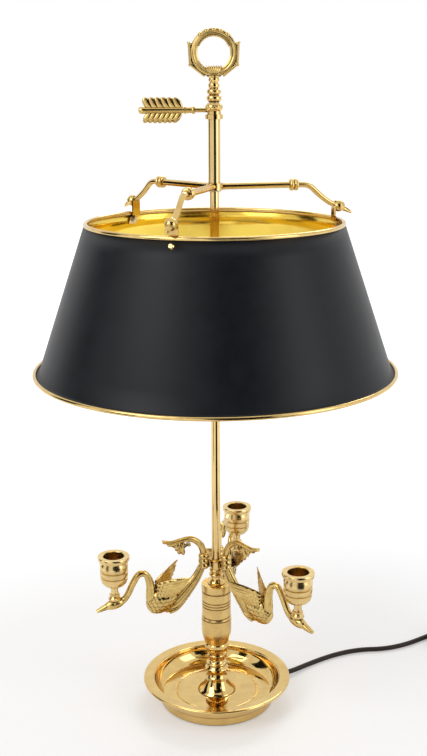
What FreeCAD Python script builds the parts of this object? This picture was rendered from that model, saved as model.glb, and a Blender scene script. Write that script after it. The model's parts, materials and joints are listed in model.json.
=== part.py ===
"""Bouillotte table lamp: a brass dish base, a turned column with three swan candle arms,
a stem with two bulb sockets, and a painted metal shade that slides and turns on the stem."""
import FreeCAD, Part
import os
from math import atan2, cos, degrees, pi, radians, sin, sqrt, tan

V = FreeCAD.Vector
UP = V(0, 0, 1)
ORIGIN = V(0, 0, 0)

# Fits and clearances
SLIDE_FIT = 0.05
BORE_FIT = 0.15
SEAT_FIT = 0.05
AXIAL_PLAY = 0.3

# Stem, tie rod and their tubes
STEM_R = 4.75
STEM_WALL = 1.0
STEM_SHOWS = 482.2
TIE_ROD_WALL = 1.2
TIE_ROD_IN_STEM = 22.0

# Dish base with its foot
FELT_T = 1.2
FELT_MARGIN = 1.5
FELT_HOLE_R = 10.0
FOOT_R = 62.0
FOOT_WALL = 3.0
FLOOR_LIFT = 9.3
FLOOR_T = 1.9
FLOOR_R = 59.5
RIM_R = 81.4
RIM_LIFT = 18.0
LIP_R = 1.7
FLANGE_W = 12.1
DISH_WALL = 2.0
DISH_BOW = 2.4
STEP_RING_R = 44.7
STEP_RING_H = 0.8
WEIGHT_T = 4.6
WEIGHT_HOLE_R = 14.0
WEIGHT_GAP = 1.0
WASHER_R = 9.0
WASHER_T = 1.1
NUT_FLATS = 14.0
NUT_H = 4.0
ROD_PAST_NUT = 0.8

# Turned column between the dish and the arms
BELL_H = 30.5
BELL_R = 20.7
BELL_NECK_R = 12.5
BELL_RING_R = 15.4
BELL_WAIST_R = 9.7
SPOOL_H = 9.0
SPOOL_RING_R = 11.5
SPOOL_WAIST_R = 8.0
BOWL_H = 18.9
BOWL_R = 13.4
BOWL_NECK_R = 8.8
BARREL_H = 70.1
BARREL_FOOT_R = 12.8
BARREL_BELLY_R = 16.4
BARREL_BAND_R = 16.0
BARREL_PLAIN_R = 15.3
BARREL_RIM_R = 16.4
BARREL_WALL = 1.7
BARREL_END_T = 2.0
GROOVE_W = 1.1
GROOVE_DEEP = 0.5
GROOVE_PITCH = 2.4
CAP_H = 17.7
CAP_FOOT_R = 9.6
CAP_WAIST_R = 6.7
CAP_RING_R = 8.0
HUB_R = 6.5
HUB_H = 11.3
HUB_RING_R = 7.2
STEM_SEAT = 3.0

# Swan candle arms, in the arm's own plane: out from the stem, up from the arm's stud
ARM_ANGLES = (-72.3, 47.7, 167.7)
ARM_STUD_UP = 5.6
STUD_R = 2.2
STUD_INTO_HUB = 1.4
STUD_INTO_ARM = 4.4
STUD_COLLAR_FLATS = 7.0
KNUCKLE_GAP = 2.1
KNUCKLE_R = 5.75
KNUCKLE_NECK_R = 4.7
KNUCKLE_RINGS = 3
KNUCKLE_RING_H = 5.6
KNUCKLE_BELOW = 3.7
TAIL_T = 5.0
TAIL_EYE_R = 3.4
BAR_T = 7.4
CUP_REACH = 113.5
BODY_BACK = 52.0
BODY_DROP = 34.6
BODY_LONG = 18.5
BODY_DEEP = 13.5
BODY_HALF_W = 8.6
BODY_SLOPE = 27.0
NECK_R = 3.1
HEAD_LONG = 9.5
HEAD_R = 5.4
HEAD_DROP = 31.6
BEAK_R = 3.4
BEAK_TIP_R = 0.9
BEAK_L = 21.5
BEAK_FALL = 6.4
CUP_SEAT_DROP = 27.8
CUP_SEAT_R = 4.4
WING_T = 1.8
WING_SPAN = 26.0
WING_BACK = 77.5
WING_TIP_DROP = 2.2

# Candle cups
CANDLE_R = 11.0
CANDLE_DEEP = 24.0
CUP_H = 51.2
CUP_BAND_R = 15.0
CUP_GROOVE_R = 14.2
CUP_RIM_R = 17.0
CUP_FLAT_R = 7.0
CUP_STEM_R = 4.3
CUP_KNOP_R = 6.8
CUP_BOWL_UP = 17.3
CUP_SCREW_R = 1.6
CUP_SCREW_HEAD_R = 3.2
CUP_SCREW_HEAD_T = 1.6
CUP_SCREW_IN_HEAD = 4.5

# Bulb sockets on their cluster
CLUSTER_UP = 216.0
CLUSTER_H = 16.0
CLUSTER_R = 13.0
SOCKET_REACH = 42.0
SOCKET_TUBE_R = 4.0
SOCKET_TUBE_WALL = 1.3
SOCKET_TUBE_BEND = 9.0
SOCKET_LIFT = 8.0
SHELL_R = 16.5
SHELL_T = 0.7
SHELL_H = 40.0
CAP_DEEP = 14.0
CAP_LAP = 4.0
LINER_T = 0.8
INTERIOR_H = 13.0
CONTACT_SHELL_T = 0.6
CONTACT_SHELL_H = 23.0
BULB_BASE_R = 12.9
BULB_BASE_H = 22.0
GLOBE_R = 24.0
GLASS_T = 0.8
GLOBE_UP = 32.0
KNOB_SHAFT_R = 2.4
KNOB_UP = 8.0
KNOB_OUT = 5.5
KNOB_L = 13.0
KNOB_H = 9.0
KNOB_T = 4.4

# Sliding shade carrier, stacked down from the finial
STOP_GAP = 1.0
BUSH_WALL = 0.6
BUSH_FLANGE_R = 6.8
BUSH_FLANGE_T = 0.8
COLLAR_H = 15.2
COLLAR_FLANGE_R = 8.85
COLLAR_FLANGE_H = 4.2
COLLAR_R = 6.9
COLLAR_BEAD_R = 8.55
SLEEVE_WALL = 0.6
SLEEVE_L = 62.5
SPIDER_HUB_H = 6.9
SPIDER_HUB_R = 8.2
SPIDER_ANGLES = (-17.0, 103.0, -137.0)
SPIDER_TUBE_R = 3.25
SPIDER_TENON_R = 2.0
SPIDER_BOSS_END = 11.0
SPIDER_BEAD_R = 6.1
SPIDER_BEAD_L = 9.0
BEAD_BEFORE_SHADE = 53.0
SPIDER_ROD_R = 2.9
HOOK_HEAD_R = 5.0
HOOK_HEAD_OUT = 0.6
HOOK_HEAD_UP = 13.0
HOOK_BEAK_L = 13.5
HOOK_BEAK_FALL = 7.0
TAB_W = 9.5
TAB_T = 2.0
TAB_BELOW_TOP = 12.0
SCREW_BELOW_TOP = 6.4
SCREW_R = 1.5
SCREW_HEAD_R = 3.0
SCREW_HEAD_T = 1.5
SCREW_NUT_FLATS = 5.0
SCREW_NUT_T = 2.2

# Shade
SHADE_BELOW_ARMS = 36.0
SHADE_TOP_R = 131.0
SHADE_BOTTOM_R = 181.5
SHADE_H = 149.0
SHADE_T = 0.6
TOP_BEAD_R = 2.2
BOTTOM_BEAD_R = 2.1
BOTTOM_BEAD_OUT = 5.0
BOTTOM_BEAD_DROP = 2.5

# Arrow-shaped thumbscrew
KEY_BELOW_TOP = 6.7
KEY_THREAD_R = 2.2
KEY_SHAFT_R = 2.9
KEY_STEP = 18.5
KEY_VANE_START = 30.6
KEY_VANE_END = 71.0
KEY_VANE_H = 12.3
KEY_VANE_T = 2.4
KEY_VANE_SLANT = 5.0
KEY_NOCK_R = 3.5
KEY_NOCK_L = 7.0

# Finial with its carrying ring
FINIAL_NECK_H = 22.4
FINIAL_TENON = 8.0
FINIAL_BEADS = ((2.3, 7.45), (9.6, 7.0), (16.0, 5.6))
FINIAL_BEAD_HALF = 1.9
FINIAL_WAIST_R = 4.6
FINIAL_DOME_R = 5.5
RING_HOLE_R = 15.9
RING_BAND_R = 3.45
RING_FLAT_W = 17.4
RING_FOOT_W = 9.0
GADROON_R = 3.3
GADROONS = 5
GADROON_STEP = 21.0
RING_TIP_REACH = 26.6
RING_TIP_ANGLES = (19.0, -27.0)
RING_TIP_R = 2.1

# Cord: where it leaves, its size, and its chosen route across the table
CORD_R = 2.8
CORD_GAP = 0.1
EXIT_ANGLE = 29.0
EXIT_UP = 4.9
RELIEF_END = 84.0
RELIEF_R = 3.6
RELIEF_TIP_R = 3.3
RELIEF_BARREL_R = 3.4
CORD_LIES = 2.9
CORD_ROUTE = (
    (87.5, 48.5, 4.9), (109.0, 69.3, 2.9), (140.0, 91.0, 2.9), (172.0, 103.8, 2.9),
    (203.0, 105.3, 2.9), (231.0, 116.6, 2.9), (257.0, 134.98, 2.9),
)

# Coil of the cord's spare length, and the plug beside it
COIL_X = 310.0
COIL_Y = 120.0
COIL_MID_R = 33.2
COIL_LAYER_TURNS = 3.25
COIL_PITCH = 6.2
COIL_START_ANGLE = 126.0
COIL_TAIL_ANGLE = 126.0
COIL_TAIL_OUT = 8.7
PLUG_AXIS_UP = 6.6
PLUG_W = 24.0
PLUG_THICK = 13.0
PLUG_L = 27.0
PLUG_NECK_L = 14.0
PLUG_NECK_R = 5.6
BLADE_W = 6.3
BLADE_T = 1.5
BLADE_L = 17.0
BLADE_APART = 12.7

# Levels worked out from the sizes above
z_floor = FELT_T + FLOOR_LIFT
z_floor_under = z_floor - FLOOR_T
z_rim = z_floor + RIM_LIFT
z_spool = z_floor + BELL_H
z_bowl = z_spool + SPOOL_H
z_barrel = z_bowl + BOWL_H
z_cap = z_barrel + BARREL_H
z_hub = z_cap + CAP_H
z_hub_top = z_hub + HUB_H
z_stud = z_hub + ARM_STUD_UP
z_cup = z_stud - CUP_SEAT_DROP
z_cluster = z_hub_top + CLUSTER_UP
z_cluster_mid = z_cluster + CLUSTER_H / 2
z_socket = z_cluster + CLUSTER_H
z_stem_top = z_hub_top + STEM_SHOWS
z_collar_top = z_stem_top - STOP_GAP
z_collar = z_collar_top - COLLAR_H
z_spider_top = z_collar - SLEEVE_L
z_spider = z_spider_top - SPIDER_HUB_H
z_arms = z_spider + SPIDER_HUB_H / 2
z_shade_top = z_arms - SHADE_BELOW_ARMS
z_shade_bottom = z_shade_top - SHADE_H
z_key = z_collar_top - KEY_BELOW_TOP

# Radii worked out from the sizes above
stem_bore_r = STEM_R - STEM_WALL
tie_rod_r = stem_bore_r - SEAT_FIT
rod_hole_r = tie_rod_r + BORE_FIT
bush_r = STEM_R + SLIDE_FIT + BUSH_WALL
carrier_bore_r = bush_r + SLIDE_FIT
sleeve_r = carrier_bore_r + SLEEVE_WALL
knuckle_u = HUB_R + KNUCKLE_GAP + KNUCKLE_R
body_u = CUP_REACH - BODY_BACK
shade_slope = (SHADE_BOTTOM_R - SHADE_TOP_R) / SHADE_H
tab_gap = TAB_W ** 2 / (8 * SHADE_TOP_R) + SEAT_FIT
cord_across = 2 * CORD_R
exit_dir = V(cos(radians(EXIT_ANGLE)), sin(radians(EXIT_ANGLE)), 0)


def save(name, shape):
    """Write one sub-part and print its solids and volume."""
    if not shape.isValid():
        print("NOT VALID", name)
    shape.exportStep("parts/" + name + ".step")
    print(name, len(shape.Solids), "solids", round(shape.Volume, 1), "mm3")


def edges_through(steps, at):
    """Edges through points; a third number on a point bows the edge to it by that much."""
    edges = []
    here = steps[0]
    for step in steps[1:]:
        a = at(here[0], here[1])
        b = at(step[0], step[1])
        if len(step) == 3:
            du = step[0] - here[0]
            dz = step[1] - here[1]
            long = sqrt(du * du + dz * dz)
            mid_u = (here[0] + step[0]) / 2 - step[2] * dz / long
            mid_z = (here[1] + step[1]) / 2 + step[2] * du / long
            edges.append(Part.Arc(a, at(mid_u, mid_z), b).toShape())
        else:
            edges.append(Part.makeLine(a, b))
        here = step
    return edges


def in_plane(u, z):
    return V(u, 0, z)


def face_of(steps):
    """Flat face in the X-Z plane inside a closed outline."""
    wire = Part.Wire(edges_through(list(steps) + [steps[0]], in_plane))
    return Part.Face(wire)


def turned(steps, lift=0.0):
    """Solid of revolution about Z from a closed outline of radius and height."""
    raised = [(step[0], step[1] + lift) + tuple(step[2:]) for step in steps]
    return face_of(raised).revolve(ORIGIN, UP, 360)


def plate(steps, thick):
    """Flat plate of an outline in the X-Z plane, centred on that plane."""
    face = face_of(steps)
    face.translate(V(0, -thick / 2, 0))
    return face.extrude(V(0, thick, 0))


def tube(r_out, r_in, low, high):
    outer = Part.makeCylinder(r_out, high - low, V(0, 0, low))
    return outer.cut(Part.makeCylinder(r_in, high - low, V(0, 0, low)))


def rod(radius, start, end):
    """Cylinder between two points."""
    reach = end.sub(start)
    return Part.makeCylinder(radius, reach.Length, start, reach)


def taper(start_r, end_r, start, end):
    reach = end.sub(start)
    return Part.makeCone(start_r, end_r, reach.Length, start, reach)


def hexagon(flats, low, high):
    """Hexagonal prism about Z."""
    corner = flats / sqrt(3)
    points = [V(corner * cos(k * pi / 3), corner * sin(k * pi / 3), low) for k in range(7)]
    return Part.Face(Part.makePolygon(points)).extrude(V(0, 0, high - low))


def ellipsoid(centre, half_long, half_wide, half_deep, slope):
    """Egg shape with its long axis in the X-Z plane, turned up by a slope in degrees."""
    squash = FreeCAD.Matrix()
    squash.scale(half_long, half_wide, half_deep)
    egg = Part.makeSphere(1.0).transformGeometry(squash)
    egg.rotate(ORIGIN, V(0, 1, 0), -slope)
    egg.translate(centre)
    return egg


def lay_along_x(shape):
    """Turn a solid made about Z so that its axis points along +X."""
    shape.rotate(ORIGIN, V(0, 1, 0), 90)
    return shape


def turn_to(shape, angle):
    """Copy of a solid made towards +X, turned to an angle counted from the front."""
    placed = shape.copy()
    placed.rotate(ORIGIN, UP, angle - 90)
    return placed


def merged(pieces):
    body = pieces[0]
    for piece in pieces[1:]:
        body = body.fuse(piece)
    return body.removeSplitter()


def soft_path(points):
    """Straight runs joined by tangent arcs as large as the runs allow, with the radii."""
    starts = [points[0]]
    edges = []
    radii = []
    for before, corner, after in zip(points, points[1:], points[2:]):
        back = before.sub(corner)
        ahead = after.sub(corner)
        turn = pi - back.getAngle(ahead)
        cut = 0.45 * min(back.Length, ahead.Length)
        radius = cut / tan(turn / 2)
        back.normalize()
        ahead.normalize()
        first = corner.add(back.multiply(cut))
        last = corner.add(ahead.multiply(cut))
        to_chord = first.add(last).multiply(0.5).sub(corner)
        sag = radius * (1 / cos(turn / 2) - 1)
        middle = corner.add(to_chord.normalize().multiply(sag))
        edges.append(Part.makeLine(starts[-1], first))
        edges.append(Part.Arc(first, middle, last).toShape())
        starts.append(last)
        radii.append(radius)
    edges.append(Part.makeLine(starts[-1], points[-1]))
    return edges, radii


def swept(edges, radius):
    """Round tube along a path of tangent edges."""
    wire = Part.Wire(edges)
    first = edges[0]
    start = first.valueAt(first.FirstParameter)
    heading = first.tangentAt(first.FirstParameter)
    ring = Part.Wire(Part.makeCircle(radius, start, heading))
    return wire.makePipeShell([ring], True, False)


def beads(low, count, high_each, neck_r, ring_r):
    """Outline steps for stacked half-round rings, going up."""
    steps = [(neck_r, low)]
    for k in range(count):
        steps.append((neck_r, low + (k + 1) * high_each, neck_r - ring_r))
    return steps


def grooves(low, count, wall_r):
    """Outline steps for a row of small grooves cut in a wall, going up."""
    steps = []
    for k in range(count):
        base = low + k * GROOVE_PITCH
        steps.append((wall_r, base))
        steps.append((wall_r, base + GROOVE_W, GROOVE_DEEP))
    return steps


def build_base():
    """Dish, foot, felt, weight and the nut that pulls the whole lamp together."""
    flange_r = RIM_R - FLANGE_W
    felt = tube(FOOT_R - FELT_MARGIN, FELT_HOLE_R, 0, FELT_T)
    save("felt_pad", felt)
    lip = RIM_R - LIP_R
    dish = turned([
        (rod_hole_r, z_floor_under),
        (FOOT_R - FOOT_WALL, z_floor_under),
        (FOOT_R - FOOT_WALL, FELT_T),
        (FOOT_R, FELT_T),
        (FOOT_R, z_floor_under),
        (flange_r + DISH_WALL, z_rim - DISH_WALL, -DISH_BOW),
        (lip, z_rim - 2 * LIP_R),
        (lip, z_rim, -LIP_R),
        (flange_r + 1.0, z_rim - 0.8),
        (flange_r, z_rim - 2.0, 0.2),
        (FLOOR_R, z_floor, DISH_BOW),
        (STEP_RING_R + 1.2, z_floor),
        (STEP_RING_R - 1.2, z_floor, -STEP_RING_H),
        (rod_hole_r, z_floor),
    ])
    inside = exit_dir * (FOOT_R - FOOT_WALL - 1)
    hole = rod(RELIEF_BARREL_R + SEAT_FIT, inside, exit_dir * (FOOT_R + 1))
    hole.translate(V(0, 0, EXIT_UP))
    save("base_dish", dish.cut(hole))

    weight = tube(FOOT_R - FOOT_WALL - WEIGHT_GAP, WEIGHT_HOLE_R, z_floor_under - WEIGHT_T, z_floor_under)
    channel = Part.makeBox(FOOT_R, cord_across + 2, WEIGHT_T, V(0, -CORD_R - 1, z_floor_under - WEIGHT_T))
    channel.rotate(ORIGIN, UP, EXIT_ANGLE)
    save("base_weight", weight.cut(channel))

    z_washer = z_floor_under - WASHER_T
    save("rod_washer", tube(WASHER_R, rod_hole_r, z_washer, z_floor_under))
    nut = hexagon(NUT_FLATS, z_washer - NUT_H, z_washer)
    save("rod_nut", nut.cut(Part.makeCylinder(tie_rod_r, z_washer)))
    z_rod = z_washer - NUT_H - ROD_PAST_NUT
    save("tie_rod", tube(tie_rod_r, tie_rod_r - TIE_ROD_WALL, z_rod, z_hub_top + TIE_ROD_IN_STEM))


def build_column():
    """Turned pieces threaded on the tie rod, from the dish up to the arm hub."""
    ring_low = BELL_H - 16.0
    bell = [(rod_hole_r, 0), (BELL_R, 0), (BELL_R, 1.2), (BELL_NECK_R, ring_low - 1.6, 2.2)]
    bell += beads(ring_low - 1.0, 3, 2.9, BELL_NECK_R + 1.0, BELL_RING_R)
    bell += [(BELL_WAIST_R, BELL_H - 2.4, 0.9), (BELL_WAIST_R + 1.0, BELL_H), (rod_hole_r, BELL_H)]
    save("base_bell", turned(bell, z_floor))

    ring_foot_r = SPOOL_RING_R - 1.4
    spool = [(rod_hole_r, 0), (ring_foot_r, 0), (ring_foot_r, 3.8, -1.4)]
    spool += [(SPOOL_WAIST_R + 0.8, SPOOL_H, 0.9), (rod_hole_r, SPOOL_H)]
    save("ring_spool", turned(spool, z_spool))

    bowl = [(rod_hole_r, 0), (BOWL_NECK_R, 0), (BOWL_NECK_R, 1.6)]
    bowl += [(BOWL_NECK_R, 5.0, -1.2), (BOWL_NECK_R + 0.6, 6.2)]
    bowl += [(BOWL_R, BOWL_H - 3.0, -1.4), (BOWL_R, BOWL_H - 1.4), (BOWL_R - 0.8, BOWL_H)]
    bowl += [(rod_hole_r, BOWL_H)]
    save("lower_bowl", turned(bowl, z_bowl))

    belly_low = 24.0
    belly_top = 35.2
    band_top = 49.4
    plain_top = 63.8
    barrel = [(rod_hole_r, 0), (BARREL_FOOT_R, 0), (BARREL_BELLY_R, belly_low, -1.5)]
    barrel += grooves(belly_top, 3, BARREL_BELLY_R)
    barrel += [(BARREL_BAND_R, belly_top + 3 * GROOVE_PITCH)]
    barrel += grooves(band_top, 2, BARREL_BAND_R)
    barrel += [(BARREL_PLAIN_R, band_top + 2 * GROOVE_PITCH), (BARREL_PLAIN_R, plain_top)]
    barrel += [(BARREL_RIM_R - 0.6, plain_top + 1.6, 0.4), (BARREL_RIM_R - 0.6, BARREL_H - 0.9, -0.6)]
    barrel += [(BARREL_RIM_R - 1.4, BARREL_H), (rod_hole_r, BARREL_H)]
    inside_r = BARREL_PLAIN_R - BARREL_WALL
    top_inside = BARREL_H - BARREL_END_T
    barrel += [(rod_hole_r, top_inside), (inside_r, top_inside), (inside_r, belly_low)]
    barrel += [(BARREL_FOOT_R - BARREL_WALL, BARREL_END_T, 1.0), (rod_hole_r, BARREL_END_T)]
    save("barrel", turned(barrel, z_barrel))

    cap = [(rod_hole_r, 0), (CAP_FOOT_R, 0), (CAP_FOOT_R, 0.9), (CAP_WAIST_R, CAP_H - 9.6, 1.1)]
    cap += [(CAP_RING_R - 1.3, CAP_H - 8.8), (CAP_RING_R - 1.3, CAP_H - 5.4, -1.3)]
    cap += [(CAP_WAIST_R - 0.3, CAP_H - 4.2, 0.3), (CAP_WAIST_R, CAP_H - 3.4)]
    cap += [(CAP_WAIST_R, CAP_H - 0.4, -0.9), (CAP_WAIST_R - 0.5, CAP_H), (rod_hole_r, CAP_H)]
    save("barrel_cap", turned(cap, z_cap))

    seat_r = STEM_R + SEAT_FIT
    hub = turned([
        (rod_hole_r, 0),
        (HUB_R, 0),
        (HUB_R, HUB_H - 3.3),
        (HUB_R - 0.4, HUB_H - 3.0),
        (HUB_R - 0.4, HUB_H - 0.6, HUB_R - 0.4 - HUB_RING_R),
        (HUB_R - 1.0, HUB_H),
        (seat_r, HUB_H),
        (seat_r, HUB_H - STEM_SEAT),
        (rod_hole_r, HUB_H - STEM_SEAT),
    ], z_hub)
    drill = rod(STUD_R, V(HUB_R - STUD_INTO_HUB, 0, z_stud), V(HUB_R + 1, 0, z_stud))
    for angle in ARM_ANGLES:
        hub = hub.cut(turn_to(drill, angle))
    save("arm_hub", hub)


def wing(side):
    """One wing blade, swept back and out from the swan's body."""
    root_low = V(body_u + 5.0, side * 4.0, z_stud - 25.5)
    root_high = V(body_u + 4.5, side * 4.0, z_stud - 15.0)
    tip = V(CUP_REACH - WING_BACK, side * WING_SPAN, z_stud - WING_TIP_DROP)
    along = tip.sub(root_high)
    low_bow = root_low.add(tip.sub(root_low).multiply(0.55)).add(V(0, 0, -1.6))
    across = root_high.sub(root_low)
    normal = along.cross(across)
    normal.normalize()
    high_bow = root_high.add(along.multiply(0.5)).add(across.multiply(0.28))
    off_plane = low_bow.sub(root_low).dot(normal)
    low_bow = low_bow.sub(normal * off_plane)
    outline = Part.Wire([
        Part.makeLine(root_low, root_high),
        Part.Arc(root_high, high_bow, tip).toShape(),
        Part.Arc(tip, low_bow, root_low).toShape(),
    ])
    blade = Part.Face(outline)
    blade.translate(normal * (-WING_T / 2))
    return blade.extrude(normal * WING_T)


def swan_arm():
    """One cast arm: ringed knuckle, scrolled tail, bar, swan's body, neck, head and wings."""
    knuckle_low = z_stud - KNUCKLE_BELOW
    knuckle_high = knuckle_low + KNUCKLE_RINGS * KNUCKLE_RING_H
    rings = [(0, knuckle_low)]
    rings += beads(knuckle_low, KNUCKLE_RINGS, KNUCKLE_RING_H, KNUCKLE_NECK_R, KNUCKLE_R)
    rings += [(0, knuckle_high)]
    knuckle = turned(rings)
    knuckle.translate(V(knuckle_u, 0, 0))

    u = knuckle_u
    z = knuckle_high
    tail = plate([
        (u - 4.6, z - 1.5), (u - 5.4, z + 4.0), (u + 5.5, z + 18.0, -2.2), (u + 20.0, z + 22.0, -2.0),
        (u + 31.0, z + 18.2, -0.6), (u + 46.0, z + 19.2, 0.8), (u + 34.5, z + 11.2, -0.9),
        (u + 22.6, z + 0.4, -1.0), (u + 24.0, z + 11.4, -1.2), (u + 14.4, z + 12.8, 1.6),
        (u + 4.6, z + 8.0, 1.6), (u + 4.4, z - 1.5, 0.6),
    ], TAIL_T)
    eye = rod(TAIL_EYE_R, V(u + 20.4, -TAIL_T, z + 15.6), V(u + 20.4, TAIL_T, z + 15.6))
    tail = tail.cut(eye)

    bar = plate([
        (u - 2.0, z_stud - 3.0), (u + 5.6, z_stud - 0.6), (u + 17.3, z_stud - 16.8, 0.4),
        (body_u - 19.0, z_stud - 28.6), (body_u - 2.0, z_stud - 22.0, 1.0),
        (body_u - 4.0, z_stud - 50.0), (body_u - 15.0, z_stud - 51.0, 0.6),
        (body_u - 24.0, z_stud - 41.6, -0.4), (u + 11.8, z_stud - 27.0),
    ], BAR_T)

    centre = V(body_u, 0, z_stud - BODY_DROP)
    swan = ellipsoid(centre, BODY_LONG, BODY_HALF_W, BODY_DEEP, BODY_SLOPE)

    head = V(CUP_REACH - 1.5, 0, z_stud - HEAD_DROP)
    neck_path = [
        V(body_u + 12.0, 0, z_stud - 30.0), V(body_u + 12.6, 0, z_stud - 14.0),
        V(body_u + 16.8, 0, z_stud - 1.4), V(body_u + 26.6, 0, z_stud - 2.4),
        V(head.x - 12.4, 0, head.z + 8.0), head,
    ]
    neck = swept(soft_path(neck_path)[0], NECK_R)
    skull = ellipsoid(head, HEAD_LONG, HEAD_R, HEAD_R, -8.0)
    beak = taper(BEAK_R, BEAK_TIP_R, head, head.add(V(BEAK_L, 0, -BEAK_FALL)))
    seat = rod(CUP_SEAT_R, V(CUP_REACH, 0, head.z), V(CUP_REACH, 0, z_cup))

    arm = merged([bar, knuckle, tail, swan, neck, skull, beak, seat, wing(1), wing(-1)])
    arm = arm.cut(rod(CUP_KNOP_R + 1.0, V(CUP_REACH, 0, z_cup), V(CUP_REACH, 0, z_cup + HEAD_LONG)))
    stud_end = V(knuckle_u - KNUCKLE_R + STUD_INTO_ARM, 0, z_stud)
    stud_hole = rod(STUD_R, V(knuckle_u - KNUCKLE_R - 1, 0, z_stud), stud_end)
    screw_hole = rod(CUP_SCREW_R, V(CUP_REACH, 0, z_cup - CUP_SCREW_IN_HEAD), V(CUP_REACH, 0, z_cup))
    return arm.cut(stud_hole).cut(screw_hole)


def candle_cup():
    """Turned candle cup about its own axis, standing on the swan's head."""
    bore_floor = CUP_H - CANDLE_DEEP - 0.8
    head_seat = bore_floor - CUP_SCREW_HEAD_T - BORE_FIT
    band_low = CUP_H - 16.0
    cup = turned([
        (CUP_SCREW_R + SEAT_FIT, 0),
        (CUP_SEAT_R, 0),
        (CUP_SEAT_R - 0.6, 2.4, 0.2),
        (CUP_KNOP_R - 1.6, 4.6),
        (CUP_KNOP_R - 1.6, 9.2, -1.6),
        (CUP_STEM_R, 10.6, 0.3),
        (CUP_STEM_R, CUP_BOWL_UP - 1.6),
        (CUP_FLAT_R, CUP_BOWL_UP),
        (CUP_GROOVE_R, band_low - 1.0, -2.6),
        (CUP_BAND_R, band_low),
        (CUP_BAND_R, band_low + 4.4, -0.3),
        (CUP_GROOVE_R, band_low + 5.6),
        (CUP_GROOVE_R + 0.4, band_low + 9.4),
        (CUP_RIM_R, CUP_H - 2.0, 0.8),
        (CUP_RIM_R - 0.6, CUP_H, -0.5),
        (CANDLE_R + 0.8, CUP_H),
        (CANDLE_R, CUP_H - 0.8),
        (CANDLE_R, bore_floor),
        (CUP_SCREW_HEAD_R + SEAT_FIT, bore_floor),
        (CUP_SCREW_HEAD_R + SEAT_FIT, head_seat),
        (CUP_SCREW_R + SEAT_FIT, head_seat),
    ], z_cup)
    cup.translate(V(CUP_REACH, 0, 0))
    head_low = z_cup + head_seat
    screw = rod(CUP_SCREW_R, V(CUP_REACH, 0, z_cup - CUP_SCREW_IN_HEAD), V(CUP_REACH, 0, head_low))
    head = rod(CUP_SCREW_HEAD_R, V(CUP_REACH, 0, head_low), V(CUP_REACH, 0, head_low + CUP_SCREW_HEAD_T))
    slot = Part.makeBox(2 * CUP_SCREW_HEAD_R, 1.0, 0.8)
    slot.translate(V(CUP_REACH - CUP_SCREW_HEAD_R, -0.5, head_low + CUP_SCREW_HEAD_T - 0.8))
    return cup, screw.fuse(head).cut(slot).removeSplitter()


def arm_stud():
    """Double-ended stud with a hexagonal collar between hub and arm."""
    start = HUB_R - STUD_INTO_HUB
    end = knuckle_u - KNUCKLE_R + STUD_INTO_ARM
    shank = rod(STUD_R, V(start, 0, z_stud), V(end, 0, z_stud))
    collar = lay_along_x(hexagon(STUD_COLLAR_FLATS, HUB_RING_R + 0.1, HUB_R + KNUCKLE_GAP))
    collar.translate(V(0, 0, z_stud))
    return merged([shank, collar])


def build_arms():
    """Three arms with their studs, cups and cup screws."""
    arm = swan_arm()
    cup, screw = candle_cup()
    stud = arm_stud()
    for side, angle in zip(("left", "right", "back"), ARM_ANGLES):
        save("swan_arm_" + side, turn_to(arm, angle))
        save("candle_cup_" + side, turn_to(cup, angle))
    save("arm_studs", Part.makeCompound([turn_to(stud, angle) for angle in ARM_ANGLES]))
    save("cup_screws", Part.makeCompound([turn_to(screw, angle) for angle in ARM_ANGLES]))


def build_stem():
    """Lower and upper stem tubes with the socket cluster between them."""
    z_seat = z_hub_top - STEM_SEAT
    half = CLUSTER_H / 2 - 2.0
    save("lower_stem", tube(STEM_R, stem_bore_r, z_seat, z_cluster + half))
    save("upper_stem", tube(STEM_R, stem_bore_r, z_cluster_mid + 2.0, z_stem_top))
    seat_r = STEM_R + SEAT_FIT
    hub = turned([
        (stem_bore_r, half),
        (seat_r, half),
        (seat_r, 0),
        (CLUSTER_R - 2.0, 0),
        (CLUSTER_R, 2.0, -0.6),
        (CLUSTER_R, CLUSTER_H - 2.0),
        (CLUSTER_R - 2.0, CLUSTER_H, -0.6),
        (seat_r, CLUSTER_H),
        (seat_r, CLUSTER_H - half),
        (stem_bore_r, CLUSTER_H - half),
    ], z_cluster)
    tenon_start = seat_r + 2.0
    for side in (1, -1):
        start = V(side * tenon_start, 0, z_cluster_mid)
        hub = hub.cut(rod(SOCKET_TUBE_R, start, V(side * CLUSTER_R, 0, z_cluster_mid)))
    save("cluster_body", hub)


def socket_tube(tenon_start):
    """Bent tube that carries one socket, towards +X."""
    rise = z_socket + SOCKET_LIFT
    bend = SOCKET_TUBE_BEND
    centre = V(SOCKET_REACH - bend, 0, z_cluster_mid + bend)
    diagonal = bend / sqrt(2)
    edges = [
        Part.makeLine(V(tenon_start, 0, z_cluster_mid), V(centre.x, 0, z_cluster_mid)),
        Part.Arc(
            V(centre.x, 0, z_cluster_mid),
            V(centre.x + diagonal, 0, centre.z - diagonal),
            V(SOCKET_REACH, 0, centre.z),
        ).toShape(),
        Part.makeLine(V(SOCKET_REACH, 0, centre.z), V(SOCKET_REACH, 0, rise)),
    ]
    outside = swept(edges, SOCKET_TUBE_R)
    return outside.cut(swept(edges, SOCKET_TUBE_R - SOCKET_TUBE_WALL))


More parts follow.
